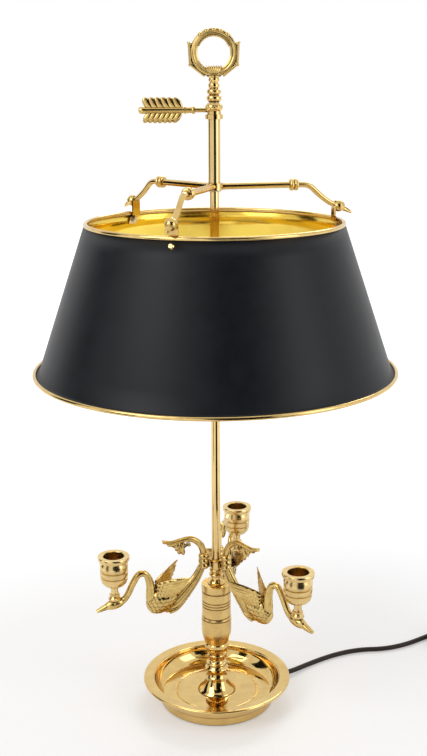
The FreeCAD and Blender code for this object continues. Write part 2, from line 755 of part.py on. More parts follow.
def socket_pieces():
    """The pieces of one socket about its own axis, each with its name."""
    z_cap_low = z_socket + SOCKET_LIFT - 3.0
    z_shell = z_cap_low + CAP_DEEP - CAP_LAP
    z_shell_top = z_shell + SHELL_H
    hole_r = SOCKET_TUBE_R + SEAT_FIT
    cap_r = SHELL_R + SHELL_T
    cap = turned([
        (hole_r, 0), (hole_r + 2.2, 0), (hole_r + 2.2, 3.2), (cap_r, 9.6, -2.6), (cap_r, CAP_DEEP),
        (SHELL_R, CAP_DEEP), (SHELL_R, 10.0), (hole_r + 1.4, 4.6, 2.4), (hole_r, 4.6),
    ], z_cap_low)
    shell = tube(SHELL_R, SHELL_R - SHELL_T, z_shell, z_shell_top)
    liner_r = SHELL_R - SHELL_T
    liner = tube(liner_r, liner_r - LINER_T, z_shell + 1.0, z_shell_top - 1.0)
    core_r = liner_r - LINER_T - 0.3
    z_core = z_shell + 1.0
    core = Part.makeCylinder(core_r, INTERIOR_H, V(0, 0, z_core))
    z_contact = z_core + INTERIOR_H
    contact_r = BULB_BASE_R + 0.15
    contact = tube(contact_r + CONTACT_SHELL_T, contact_r, z_contact, z_contact + CONTACT_SHELL_H)
    z_knob = z_core + KNOB_UP
    knob_hole = rod(KNOB_SHAFT_R + SLIDE_FIT, V(core_r / 2, 0, z_knob), V(SHELL_R + 2, 0, z_knob))
    z_bulb = z_contact + 1.0
    base = Part.makeCylinder(BULB_BASE_R, BULB_BASE_H, V(0, 0, z_bulb))
    neck_z = z_bulb + BULB_BASE_H
    globe_z = neck_z + GLOBE_UP - 4.0
    neck_r = BULB_BASE_R - 0.6
    globe = V(0, 0, globe_z)
    outside = Part.makeCylinder(neck_r, globe_z - neck_z, V(0, 0, neck_z))
    outside = outside.fuse(Part.makeSphere(GLOBE_R, globe))
    inside = Part.makeCylinder(neck_r - GLASS_T, globe_z - neck_z, V(0, 0, neck_z))
    glass = outside.cut(inside.fuse(Part.makeSphere(GLOBE_R - GLASS_T, globe)))
    start = core_r / 2 + AXIAL_PLAY
    paddle_x = SHELL_R + KNOB_OUT
    shaft = rod(KNOB_SHAFT_R, V(start, 0, z_knob), V(paddle_x + 2, 0, z_knob))
    paddle = plate([
        (paddle_x, z_knob - KNOB_H / 3), (paddle_x + KNOB_L, z_knob - KNOB_H / 2, 0.5),
        (paddle_x + KNOB_L, z_knob + KNOB_H / 2, -1.5), (paddle_x, z_knob + KNOB_H / 3, 0.5),
    ], KNOB_T)
    knob = merged([shaft, paddle])
    cut_through = [("socket_shell", shell), ("socket_liner", liner), ("socket_core", core)]
    pieces = [(name, solid.cut(knob_hole)) for name, solid in cut_through]
    pieces += [("socket_cap", cap), ("contact_shell", contact), ("bulb_base", base)]
    pieces += [("bulb_glass", glass), ("socket_knob", knob)]
    return pieces


def build_sockets():
    """Both sockets, left and right of the stem, on their bent tubes."""
    tenon_start = STEM_R + SEAT_FIT + 2.0
    carrier = socket_tube(tenon_start)
    pieces = socket_pieces()
    contact_shells = []
    for side, angle in (("right", 0.0), ("left", 180.0)):
        branch = carrier.copy()
        branch.rotate(ORIGIN, UP, angle)
        save("socket_tube_" + side, branch)
        for name, solid in pieces:
            placed = solid.copy()
            placed.translate(V(SOCKET_REACH, 0, 0))
            placed.rotate(ORIGIN, UP, angle)
            if name == "contact_shell":
                contact_shells.append(placed)
            else:
                save(name + "_" + side, placed)
    save("contact_shells", Part.makeCompound(contact_shells))


def shade_outer_r(z):
    """Outside radius of the shade's sheet at a height."""
    return SHADE_TOP_R + shade_slope * (z_shade_top - z)


def spider_arm():
    """One carrier arm towards +X: tube, ringed bead, bent rod, bird's head hook and tab."""
    bead_start = SHADE_TOP_R - BEAD_BEFORE_SHADE
    bead_end = bead_start + SPIDER_BEAD_L
    tenon = rod(SPIDER_TENON_R, V(carrier_bore_r + 1.0, 0, z_arms), V(SPIDER_BOSS_END, 0, z_arms))
    tube_part = rod(SPIDER_TUBE_R, V(SPIDER_BOSS_END, 0, z_arms), V(bead_start, 0, z_arms))
    ring_l = SPIDER_BEAD_L / 2
    outline = [(0, bead_start)]
    outline += beads(bead_start, 2, ring_l, SPIDER_BEAD_R - 1.9, SPIDER_BEAD_R)
    outline += [(0, bead_end)]
    bead = lay_along_x(turned(outline))
    bead.translate(V(0, 0, z_arms))
    head = V(SHADE_TOP_R + HOOK_HEAD_OUT, 0, z_shade_top + HOOK_HEAD_UP)
    bent = swept(soft_path([
        V(bead_end - 1, 0, z_arms), V(bead_end + 12, 0, z_arms - 0.4), V(bead_end + 24, 0, z_arms - 12),
        V(head.x - 9, 0, head.z + 3.0), head,
    ])[0], SPIDER_ROD_R)
    ball = Part.makeSphere(HOOK_HEAD_R, head)
    beak_tip = head.add(V(HOOK_BEAK_L, 0, -HOOK_BEAK_FALL))
    beak = taper(HOOK_HEAD_R * 0.72, 1.0, head, beak_tip)

    inner_r = SHADE_TOP_R - SHADE_T * sqrt(1 + shade_slope * shade_slope)
    clear_r = inner_r - 2 * TOP_BEAD_R + 0.7
    turn_in = z_shade_top - TOP_BEAD_R + 0.2
    touch = turn_in - 2.6
    low = z_shade_top - TAB_BELOW_TOP
    touch_r = inner_r + shade_slope * (z_shade_top - touch) - tab_gap
    low_r = inner_r + shade_slope * (z_shade_top - low) - tab_gap
    tab = plate([
        (clear_r, head.z + 1.0), (clear_r, turn_in), (touch_r, touch), (low_r, low),
        (low_r - TAB_T, low), (touch_r - TAB_T, touch), (clear_r - TAB_T, turn_in),
        (clear_r - TAB_T, head.z + 1.0),
    ], TAB_W)
    arm = merged([tube_part, tenon, bead, bent, ball, beak, tab])
    return arm.cut(screw_hole())


def screw_axis():
    """Point on the shade's outer face where a hook screw goes in, and the inward way."""
    z = z_shade_top - SCREW_BELOW_TOP
    outside = V(shade_outer_r(z), 0, z)
    inward = V(-1, 0, -shade_slope)
    inward.normalize()
    return outside, inward


def screw_hole():
    outside, inward = screw_axis()
    return rod(SCREW_R, outside.sub(inward), outside.add(inward * 12))


def screw_and_nut():
    """Slotted round-head screw from outside the shade, and its nut behind the tab."""
    outside, inward = screw_axis()
    behind_tab = SHADE_T + (TAB_T + tab_gap) / sqrt(1 + shade_slope * shade_slope) + 2 * SEAT_FIT
    shank = rod(SCREW_R, outside, outside.add(inward * (behind_tab + SCREW_NUT_T + 0.8)))
    head = taper(SCREW_HEAD_R, SCREW_HEAD_R * 0.62, outside, outside.sub(inward * SCREW_HEAD_T))
    slot = Part.makeBox(1.2, 2 * SCREW_HEAD_R, 0.8, V(-0.4, -SCREW_HEAD_R, -0.4))
    slot.translate(outside.sub(inward * SCREW_HEAD_T))
    screw = merged([head, shank]).cut(slot)
    nut = hexagon(SCREW_NUT_FLATS, behind_tab, behind_tab + SCREW_NUT_T)
    nut = nut.cut(Part.makeCylinder(SCREW_R, behind_tab + SCREW_NUT_T))
    tilt = 180 - degrees(atan2(-inward.z, -inward.x))
    nut.rotate(ORIGIN, V(0, 1, 0), -90 - (180 - tilt))
    nut.translate(outside)
    return screw, nut


def build_carrier():
    """Sliding collar, sleeve, spider, shade and everything fastened to them."""
    bush = tube(bush_r, STEM_R + SLIDE_FIT, z_spider - AXIAL_PLAY, z_collar_top + AXIAL_PLAY)
    z_flange = z_spider - AXIAL_PLAY - BUSH_FLANGE_T
    flange = tube(BUSH_FLANGE_R, STEM_R + SLIDE_FIT, z_flange, z_spider - AXIAL_PLAY)
    save("guide_bush", merged([bush, flange]))

    collar_band = COLLAR_FLANGE_H + 3.2
    collar = turned([
        (carrier_bore_r, 0),
        (COLLAR_FLANGE_R, 0),
        (COLLAR_FLANGE_R, COLLAR_FLANGE_H),
        (COLLAR_R, COLLAR_FLANGE_H),
        (COLLAR_R, collar_band),
        (COLLAR_R, COLLAR_H - 0.6, COLLAR_R - COLLAR_BEAD_R),
        (COLLAR_R - 0.4, COLLAR_H),
        (carrier_bore_r, COLLAR_H),
    ], z_collar)
    key_hole = rod(KEY_THREAD_R + SLIDE_FIT, V(0, 0, z_key), V(-COLLAR_BEAD_R - 1, 0, z_key))
    save("clamp_collar", collar.cut(key_hole))
    save("sleeve_tube", tube(sleeve_r, carrier_bore_r, z_spider_top, z_collar))

    hub = Part.makeCylinder(SPIDER_HUB_R, SPIDER_HUB_H, V(0, 0, z_spider))
    boss = rod(SPIDER_TUBE_R + 0.2, V(0, 0, z_arms), V(SPIDER_BOSS_END, 0, z_arms))
    hub = merged([hub] + [turn_to(boss, angle) for angle in SPIDER_ANGLES])
    hub = hub.cut(Part.makeCylinder(carrier_bore_r, SPIDER_HUB_H, V(0, 0, z_spider)))
    socket = rod(SPIDER_TENON_R, V(carrier_bore_r + 1.0, 0, z_arms), V(SPIDER_BOSS_END, 0, z_arms))
    for angle in SPIDER_ANGLES:
        hub = hub.cut(turn_to(socket, angle))
    save("spider_hub", hub)

    arm = spider_arm()
    for side, angle in zip(("front", "right", "rear"), SPIDER_ANGLES):
        save("spider_arm_" + side, turn_to(arm, angle))
    screw, nut = screw_and_nut()
    save("shade_screws", Part.makeCompound([turn_to(screw, angle) for angle in SPIDER_ANGLES]))
    save("shade_nuts", Part.makeCompound([turn_to(nut, angle) for angle in SPIDER_ANGLES]))


def build_shade():
    """Conical sheet with a rolled bead along each edge."""
    across = SHADE_T * sqrt(1 + shade_slope * shade_slope)
    top_bead = Part.makeTorus(SHADE_TOP_R + 1.05 - TOP_BEAD_R, TOP_BEAD_R, V(0, 0, z_shade_top))
    low_bead_r = SHADE_BOTTOM_R + BOTTOM_BEAD_OUT
    z_low_bead = z_shade_bottom - BOTTOM_BEAD_DROP
    low_bead = Part.makeTorus(low_bead_r, BOTTOM_BEAD_R, V(0, 0, z_low_bead))
    sheet = turned([
        (SHADE_TOP_R, z_shade_top),
        (SHADE_BOTTOM_R, z_shade_bottom),
        (low_bead_r, z_low_bead + SHADE_T, 0.3),
        (low_bead_r, z_low_bead),
        (SHADE_BOTTOM_R - across, z_shade_bottom - SHADE_T, -0.3),
        (SHADE_TOP_R - across, z_shade_top),
    ])
    sheet = sheet.cut(top_bead).cut(low_bead)
    hole = screw_hole()
    for angle in SPIDER_ANGLES:
        sheet = sheet.cut(turn_to(hole, angle))
    save("shade_shell", max(sheet.Solids, key=lambda solid: solid.Volume))
    save("shade_top_rim", top_bead)
    save("shade_bottom_rim", low_bead)


def build_key():
    """Arrow-shaped thumbscrew that clamps the collar, pointing at the stem along +X."""
    tip = -(bush_r + AXIAL_PLAY)
    thread = rod(KEY_THREAD_R, V(tip, 0, 0), V(-KEY_STEP, 0, 0))
    shaft = rod(KEY_SHAFT_R, V(-KEY_STEP, 0, 0), V(-KEY_VANE_END, 0, 0))
    nock = ellipsoid(V(-KEY_VANE_END, 0, 0), KEY_NOCK_L / 2, KEY_NOCK_R, KEY_NOCK_R, 0)
    back = KEY_VANE_END
    front = KEY_VANE_START
    upper = plate([
        (-front, 1.0), (-front - 5.0, KEY_VANE_H, -1.6), (-back, KEY_VANE_H - 0.8),
        (-back + KEY_VANE_SLANT, 1.0),
    ], KEY_VANE_T)
    lower = upper.mirror(ORIGIN, UP)
    key = merged([thread, shaft, nock, upper, lower])
    key.translate(V(0, 0, z_key))
    save("arrow_key", key)


def build_finial():
    """Beaded neck on the stem's top, and the ring that the lamp is carried by."""
    neck = [(0, -FINIAL_TENON), (stem_bore_r - SEAT_FIT, -FINIAL_TENON), (stem_bore_r - SEAT_FIT, 0)]
    neck += [(FINIAL_WAIST_R + 1.2, 0)]
    for middle, radius in FINIAL_BEADS:
        foot = radius - 1.7
        neck += [(foot, middle - FINIAL_BEAD_HALF), (foot, middle + FINIAL_BEAD_HALF, -1.7)]
        neck += [(FINIAL_WAIST_R, middle + FINIAL_BEAD_HALF + 1.4)]
    neck += [(FINIAL_DOME_R, FINIAL_NECK_H - 2.6), (FINIAL_WAIST_R, FINIAL_NECK_H, -0.5), (0, FINIAL_NECK_H)]
    save("finial_neck", turned(neck, z_stem_top))

    z_foot = z_stem_top + FINIAL_NECK_H
    centre_r = RING_HOLE_R + RING_BAND_R
    centre = V(0, 0, z_foot + centre_r + RING_BAND_R + 1.5)
    flat_drop = sqrt(RING_HOLE_R ** 2 - (RING_FLAT_W / 2) ** 2)
    ring = Part.makeTorus(centre_r, RING_BAND_R, centre, V(0, 1, 0))
    half = RING_FLAT_W / 2
    block = plate([
        (-half, centre.z - flat_drop), (-half + 1.2, z_foot + 2.4), (-RING_FOOT_W / 2, z_foot),
        (RING_FOOT_W / 2, z_foot), (half - 1.2, z_foot + 2.4), (half, centre.z - flat_drop),
    ], 2 * RING_BAND_R)
    pieces = [ring, block]
    for k in range(GADROONS):
        turn = radians(GADROON_STEP * (k - (GADROONS - 1) / 2))
        reach = centre_r + 1.0
        pieces.append(Part.makeSphere(GADROON_R, centre.add(V(reach * sin(turn), 0, reach * cos(turn)))))
    for side in (1, -1):
        for angle in RING_TIP_ANGLES:
            way = V(side * cos(radians(angle)), 0, sin(radians(angle)))
            start = centre.add(way * centre_r)
            pieces.append(taper(RING_TIP_R, 0.5, start, centre.add(way * RING_TIP_REACH)))
    save("finial_ring", merged(pieces))


def arc_from(start, heading, end):
    """Arc that leaves a point along a heading and reaches another point."""
    chord = end.sub(start)
    half = chord.Length / 2
    along = V(chord).normalize()
    side = heading.sub(along * heading.dot(along))
    if side.Length < 1e-6:
        return Part.makeLine(start, end)
    bend = heading.getAngle(along)
    middle = start.add(along * half).add(side.normalize() * (half * tan(bend / 2)))
    return Part.Arc(start, middle, end).toShape()


def biarc(a, heading_a, b, heading_b):
    """Two tangent arcs between two points with given headings."""
    v = b.sub(a)
    t = heading_a.add(heading_b)
    spread = 2 * (1 - heading_a.dot(heading_b))
    if spread < 1e-9:
        reach = v.dot(v) / (4 * v.dot(heading_a))
    else:
        vt = v.dot(t)
        reach = (-vt + sqrt(vt * vt + spread * v.dot(v))) / spread
    joint = a.add(b).add(heading_a.sub(heading_b) * reach).multiply(0.5)
    second = arc_from(b, heading_b * -1, joint)
    return [arc_from(a, heading_a, joint), second]


def coil_place(turns):
    """Centre of the coiled cord after a number of turns, wound clockwise from above."""
    half_span = COIL_PITCH * COIL_LAYER_TURNS / 2
    inner_r = COIL_MID_R - half_span
    climb = turns - COIL_LAYER_TURNS
    lead_out = turns - 2 * COIL_LAYER_TURNS - 0.5
    low = CORD_LIES
    high = CORD_LIES + COIL_PITCH
    if climb <= 0:
        radius = COIL_MID_R + half_span - COIL_PITCH * turns
        z = low
    elif climb <= 0.5:
        share = climb / 0.5
        radius = inner_r - COIL_PITCH * climb + 2 * COIL_PITCH * climb * climb
        z = low + (high - low) * share * share * (3 - 2 * share)
    elif lead_out <= 0:
        radius = inner_r + COIL_PITCH * (climb - 0.5)
        z = high
    else:
        share = min(lead_out / (COIL_TAIL_ANGLE / 360), 1)
        ease = share * share * (3 - 2 * share)
        radius = COIL_MID_R + half_span + COIL_TAIL_OUT * ease
        z = high + (PLUG_AXIS_UP - high) * ease
    angle = radians(COIL_START_ANGLE - 360 * turns)
    return V(COIL_X + radius * cos(angle), COIL_Y + radius * sin(angle), z)


def coil_heading(turns, level):
    """Direction of the cord there; at a layer's ends it is level and square to the radius."""
    if level:
        angle = radians(COIL_START_ANGLE - 360 * turns)
        return V(sin(angle), -cos(angle), 0)
    step = 0.004
    return coil_place(turns + step).sub(coil_place(turns - step)).normalize()


def coil_edges():
    """Path of the coil: a straight start, quarter turns of two arcs each, a straight end."""
    total = 2 * COIL_LAYER_TURNS + 0.5 + COIL_TAIL_ANGLE / 360
    marks = [k * 0.25 for k in range(int(8 * COIL_LAYER_TURNS + 2) + 1)]
    marks += [marks[-1] + (total - marks[-1]) / 2, total]
    stops = []
    for mark in marks:
        level = mark in (marks[0], marks[-1])
        stops.append((coil_place(mark), coil_heading(mark, level)))
    start, start_way = stops[0]
    end, end_way = stops[-1]
    edges = [Part.makeLine(start.sub(start_way * cord_across), start)]
    for (a, way_a), (b, way_b) in zip(stops, stops[1:]):
        edges += biarc(a, way_a, b, way_b)
    edges.append(Part.makeLine(end, end.add(end_way * cord_across)))
    return edges


def coil_gap(edges):
    """Least gap of the wound tube to itself, measured on points along its path."""
    spots = []
    along = 0.0
    for edge in edges:
        count = max(int(edge.Length / 2.5), 2)
        for k in range(count):
            t = edge.FirstParameter + (edge.LastParameter - edge.FirstParameter) * k / count
            spots.append((along + edge.Length * k / count, edge.valueAt(t)))
        along += edge.Length
    least = None
    for i, (near, a) in enumerate(spots):
        for far, b in spots[i + 1:]:
            if far - near > 8 * cord_across:
                apart = a.distanceToPoint(b)
                if least is None or apart < least:
                    least = apart
    return least - cord_across


def build_cord():
    """Strain relief, free cord, coil and plug."""
    start = exit_dir * RELIEF_END
    start.z = EXIT_UP
    relief = lay_along_x(turned([
        (CORD_R + CORD_GAP, FOOT_R - FOOT_WALL - 2.0),
        (RELIEF_BARREL_R, FOOT_R - FOOT_WALL - 2.0),
        (RELIEF_BARREL_R, FOOT_R),
        (RELIEF_R, FOOT_R + 0.2),
        (RELIEF_R, FOOT_R + 3.0),
        (RELIEF_R - 0.1, FOOT_R + 3.4),
        (RELIEF_TIP_R, RELIEF_END),
        (0, RELIEF_END),
        (0, RELIEF_END - 3.0),
        (CORD_R + CORD_GAP, RELIEF_END - 3.0),
    ]))
    relief.rotate(ORIGIN, UP, EXIT_ANGLE)
    relief.translate(V(0, 0, EXIT_UP))
    save("strain_relief", relief)

    coil_path = coil_edges()
    coil_start = coil_path[0].valueAt(coil_path[0].FirstParameter)
    route = [start] + [V(*point) for point in CORD_ROUTE] + [coil_start]
    edges, radii = soft_path(route)
    print("cord radii", [round(radius, 1) for radius in radii])
    run = swept(edges, CORD_R)
    run_length = sum(edge.Length for edge in edges)
    section = pi * CORD_R ** 2
    run_ratio = run.Volume / (section * run_length)
    print("cord run", round(run_length, 1), "mm, volume ratio", round(run_ratio, 4))
    save("cord_run", run)

    coil = swept(coil_path, CORD_R)
    coil_length = sum(edge.Length for edge in coil_path)
    print("coil", round(coil_length, 1), "mm, volume ratio", round(coil.Volume / (section * coil_length), 4))
    print("least gap of the coil to itself", round(coil_gap(coil_path), 2), "mm")
    print("cord in all", round(run_length + coil_length, 1), "mm")
    save("cord_coil", coil)

    last = coil_path[-1]
    end = last.valueAt(last.LastParameter)
    neck = Part.makeCone(CORD_R + 1.0, PLUG_NECK_R, PLUG_NECK_L, ORIGIN, V(0, -1, 0))
    half = PLUG_THICK / 2
    body = Part.makeBox(PLUG_W, PLUG_L, PLUG_THICK, V(-PLUG_W / 2, -PLUG_NECK_L - PLUG_L, -half))
    rounded = body.makeFillet(half * 0.6, body.Edges)
    plug = merged([rounded, neck])
    plug.translate(end)
    save("plug_body", plug)
    face_y = end.y - PLUG_NECK_L - PLUG_L
    blades = []
    for side in (1, -1):
        corner = V(end.x + side * BLADE_APART / 2 - BLADE_T / 2, face_y - BLADE_L, end.z - BLADE_W / 2)
        blades.append(Part.makeBox(BLADE_T, BLADE_L, BLADE_W, corner))
    save("plug_blades", Part.makeCompound(blades))


os.makedirs("parts", exist_ok=True)
build_base()
build_column()
build_arms()
build_stem()
build_sockets()
build_carrier()
build_shade()
build_key()
build_finial()
build_cord()
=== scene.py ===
# %% [markdown]
# # A bouillotte lamp, step by step
# The construction comes first, as a frame of plain solids that never move or change here. This file
# dresses that frame: it gives every solid its finish, and builds the cast and turned pieces, the shade
# and the cord again with the detail that the solids leave out. All lengths in the frame are metres, and
# pieces are drawn in mm.

# %% Load the frame
import json
from math import cos, degrees, pi, radians, sin, tau

import bmesh
import bpy
from mathutils import Matrix, Vector
from mathutils.geometry import interpolate_bezier

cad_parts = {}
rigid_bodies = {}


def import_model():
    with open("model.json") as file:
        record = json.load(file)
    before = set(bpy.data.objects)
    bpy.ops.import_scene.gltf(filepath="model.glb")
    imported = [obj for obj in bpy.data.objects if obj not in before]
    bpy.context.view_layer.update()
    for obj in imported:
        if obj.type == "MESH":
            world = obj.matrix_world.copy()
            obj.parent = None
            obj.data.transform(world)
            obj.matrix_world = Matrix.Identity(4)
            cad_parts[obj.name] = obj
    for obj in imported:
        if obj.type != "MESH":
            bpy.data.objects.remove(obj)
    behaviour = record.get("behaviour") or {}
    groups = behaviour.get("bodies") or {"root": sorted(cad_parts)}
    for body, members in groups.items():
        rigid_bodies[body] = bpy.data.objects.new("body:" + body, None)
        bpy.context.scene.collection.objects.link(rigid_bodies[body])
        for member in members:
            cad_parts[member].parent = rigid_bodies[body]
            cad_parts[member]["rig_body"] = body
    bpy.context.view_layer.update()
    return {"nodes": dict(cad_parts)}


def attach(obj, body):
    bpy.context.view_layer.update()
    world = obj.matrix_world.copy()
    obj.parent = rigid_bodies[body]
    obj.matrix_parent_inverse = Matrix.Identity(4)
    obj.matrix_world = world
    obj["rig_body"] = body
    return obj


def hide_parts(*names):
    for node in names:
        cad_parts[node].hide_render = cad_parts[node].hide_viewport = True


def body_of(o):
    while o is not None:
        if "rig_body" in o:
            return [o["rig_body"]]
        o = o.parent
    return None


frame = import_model()
nodes = frame["nodes"]
MM = 0.001
SIDE = Vector((0, 1, 0))
UP = Vector((0, 0, 1))

# %% [markdown]
# ## The camera
# The lamp was photographed from a little above the shade, looking down by some 14 degrees. The round
# foot, the dish, the cups and the shade's rims give the view: each is a circle, and how flat it looks
# tells the angle it is seen from. The numbers below are a pinhole camera fitted to their outlines.

# %% Camera
CAMERA_AT = Vector((0.00606, -1.1458, 0.665))
LOOK_YAW = radians(-0.398)
LOOK_DOWN = radians(14.43)
LOOK_ROLL = radians(-0.3)
FOCAL_PX = 1133.13
PHOTO_LONG_PX = 756
SENSOR_MM = 36.0

ahead = Vector((sin(LOOK_YAW) * cos(LOOK_DOWN), cos(LOOK_YAW) * cos(LOOK_DOWN), -sin(LOOK_DOWN)))
right = Vector((cos(LOOK_YAW), -sin(LOOK_YAW), 0))
above = right.cross(ahead)
rolled_right = right * cos(LOOK_ROLL) + above * sin(LOOK_ROLL)
rolled_above = above * cos(LOOK_ROLL) - right * sin(LOOK_ROLL)

camera_data = bpy.data.cameras.new("studio_camera")
camera_data.sensor_width = SENSOR_MM
camera_data.lens = FOCAL_PX / PHOTO_LONG_PX * SENSOR_MM
camera = bpy.data.objects.new("studio_camera", camera_data)
bpy.context.collection.objects.link(camera)
placed = Matrix((rolled_right, rolled_above, -ahead)).transposed().to_4x4()
placed.translation = CAMERA_AT
camera.matrix_world = placed
bpy.context.scene.camera = camera
print("camera lens", round(camera_data.lens, 2), "mm, looking down", round(degrees(LOOK_DOWN), 1))

# %% [markdown]
# ## Helpers for nodes
# A material is a small net of nodes. Two short calls keep the net readable: one adds a node and fills
# its inputs, and a link is made when an input is given another node's output.

# %% Node helpers
def add(tree, kind, inputs=(), **settings):
    """A new node, its settings, and its inputs by name or number: values, or outputs to link."""
    node = tree.nodes.new(kind)
    for name, value in settings.items():
        setattr(node, name, value)
    for name, value in dict(inputs).items():
        if isinstance(value, bpy.types.NodeSocket):
            tree.links.new(value, node.inputs[name])
        else:
            node.inputs[name].default_value = value
    return node


def blank_material(name, **shader_values):
    """A material with its Principled shader, and constants set on the shader's own sockets."""
    material = bpy.data.materials.new(name)
    material.use_nodes = True
    shader = material.node_tree.nodes["Principled BSDF"]
    for socket, value in shader_values.items():
        shader.inputs[socket.replace("_", " ")].default_value = value
    return material, material.node_tree, shader


def colour(red, green, blue):
    return (red, green, blue, 1.0)


print("node helpers ready")

# %% [markdown]
# ## One effect for all the brass
# Lacquered brass is bright gold where hands and cloths reach it. Its hollows are painted brown, partly
# for old lacquer and polish that stay there and partly as painted shade. Turned pieces also carry fine
# rings from the lathe. One node group makes all of that from the place on the piece: Ambient Occlusion
# finds the hollows and paints shade into them, a noise mottles the lacquer, and a noise squeezed along
# Z gives the rings. Each brass uses it with its own values.

# %% The brass group
RING_SQUEEZE = (0.5, 0.5, 1200.0)
HOLLOW_ROUGHNESS = 0.22
MOTTLE_RELIEF = 0.3


def build_patina_and_shade():
    group = bpy.data.node_groups.new("patina_and_shade", "ShaderNodeTree")
    face = group.interface
    for name, kind in (("Bright", "Color"), ("Tarnish And Shade", "Color"), ("Reach", "Float"),
                       ("Mottle Scale", "Float"), ("Turning", "Float"), ("Smooth", "Float")):
        face.new_socket(name, in_out="INPUT", socket_type="NodeSocket" + kind)
    for name, kind in (("Color", "Color"), ("Roughness", "Float"), ("Height", "Float")):
        face.new_socket(name, in_out="OUTPUT", socket_type="NodeSocket" + kind)
    given = group.nodes.new("NodeGroupInput").outputs
    place = add(group, "ShaderNodeTexCoord").outputs["Object"]
    mottle = add(group, "ShaderNodeTexNoise", {
        "Vector": place, "Scale": given["Mottle Scale"], "Detail": 5.0, "Roughness": 0.6})
    squeeze = add(group, "ShaderNodeMapping", {"Vector": place, "Scale": RING_SQUEEZE})
    rings = add(group, "ShaderNodeTexNoise", {
        "Vector": squeeze.outputs["Vector"], "Scale": 1.0, "Detail": 2.0})
    # Painted shade: Ambient Occlusion darkens the colour in hollows, standing partly for old lacquer.
    crevice_shade = add(group, "ShaderNodeAmbientOcclusion", {"Distance": given["Reach"]}, samples=8)
    depth = add(group, "ShaderNodeMapRange", {
        "Value": crevice_shade.outputs["AO"], "From Min": 0.25, "From Max": 0.85, "To Min": 1.0, "To Max": 0.0})
    patchy = add(group, "ShaderNodeMapRange", {
        "Value": mottle.outputs["Fac"], "From Min": 0.35, "From Max": 0.75, "To Min": 0.0, "To Max": 0.3})
    # The dark mask joins the painted shade of the hollows with the mottled tarnish.
    dark = add(group, "ShaderNodeMath", {
        0: depth.outputs["Result"], 1: patchy.outputs["Result"]}, operation="MAXIMUM", use_clamp=True)
    tint = add(group, "ShaderNodeMix", {
        0: dark.outputs[0], 6: given["Bright"], 7: given["Tarnish And Shade"]}, data_type="RGBA")
    rough = add(group, "ShaderNodeMath", {0: dark.outputs[0], 1: HOLLOW_ROUGHNESS, 2: given["Smooth"]},
                operation="MULTIPLY_ADD", use_clamp=True)
    turned_marks = add(group, "ShaderNodeMath", {0: rings.outputs["Fac"], 1: given["Turning"]},
                       operation="MULTIPLY")
    height = add(group, "ShaderNodeMath", {
        0: mottle.outputs["Fac"], 1: MOTTLE_RELIEF, 2: turned_marks.outputs[0]}, operation="MULTIPLY_ADD")
    put_out = group.nodes.new("NodeGroupOutput").inputs
    group.links.new(tint.outputs[2], put_out["Color"])
    group.links.new(rough.outputs[0], put_out["Roughness"])
    group.links.new(height.outputs[0], put_out["Height"])
    return group


patina_and_shade = build_patina_and_shade()
print("patina group:", len(patina_and_shade.nodes), "nodes")

# %% [markdown]
# ## The brasses
# Seven brasses and a gold lacquer differ in colour, in how mirror-like they are and in the turning
# marks. The castings are a little softer and browner; the tube is polished; the barrel is satin, with
# clear lathe rings; the beads on the shade are thin rolled metal; the cups are paler.

# %% Brass materials
GOLD = colour(0.76, 0.54, 0.21)
OLD_GOLD = colour(0.70, 0.50, 0.18)
PALE_GOLD = colour(0.79, 0.585, 0.26)
UMBER = colour(0.13, 0.055, 0.012)
BROWN = colour(0.28, 0.13, 0.03)


# The second colour fills the mottled tarnish and the hollows, where it is painted shade as well as old
# lacquer.
def brass(name, bright, hollow, reach=0.006, mottle=60.0, turning=0.0, smooth=0.16, bump=0.00012):
    material, tree, shader = blank_material(name, Metallic=1.0)
    patina_and_shade_node = add(tree, "ShaderNodeGroup", {}, node_tree=patina_and_shade)
    for socket, value in (("Bright", bright), ("Tarnish And Shade", hollow), ("Reach", reach),
                          ("Mottle Scale", mottle), ("Turning", turning), ("Smooth", smooth)):
        patina_and_shade_node.inputs[socket].default_value = value
    relief = add(tree, "ShaderNodeBump", {"Distance": bump, "Height": patina_and_shade_node.outputs["Height"]})
    tree.links.new(patina_and_shade_node.outputs["Color"], shader.inputs["Base Color"])
    tree.links.new(patina_and_shade_node.outputs["Roughness"], shader.inputs["Roughness"])
    tree.links.new(relief.outputs["Normal"], shader.inputs["Normal"])
    return material


cast_brass = brass("cast_brass", OLD_GOLD, UMBER, reach=0.005, mottle=180.0, smooth=0.17, bump=0.0001)
finishes = {
    "aged_brass": brass("turned_brass", GOLD, BROWN, turning=0.15, smooth=0.07, bump=0.00002),
    "satin_brass": brass("satin_brass", GOLD, BROWN, turning=1.0, smooth=0.26, bump=0.00005),
    "polished_brass": brass("polished_brass", PALE_GOLD, BROWN, mottle=25.0, smooth=0.05, bump=0.00001),
    "shade_brass": brass("bead_brass", GOLD, UMBER, mottle=90.0, smooth=0.14, bump=0.00003),
    "socket_brass": brass("socket_brass", PALE_GOLD, BROWN, mottle=120.0, turning=0.3, smooth=0.2),
}
cup_brass = brass("cup_brass", PALE_GOLD, BROWN, reach=0.002, turning=0.4, smooth=0.19, bump=0.00003)
gold_lacquer = brass("gold_lacquer", colour(0.96, 0.70, 0.12), BROWN, reach=0.01, mottle=14.0, smooth=0.13,
                     bump=0.00002)
print("brasses:", sorted(finishes))

# %% [markdown]
# ## The plain materials
# Felt, iron, card, plastics and glass share one recipe: a noise between two close colours, which also
# moves the roughness and raises a little relief. Only scale and strength change from one to the next,
# because the eye reads felt from coarse fuzz and moulded plastic from a fine, shallow grain.

# %% Grained materials
DARK_BELOW = 0.3
LIGHT_ABOVE = 0.7
ROUGH_SPREAD = 0.06


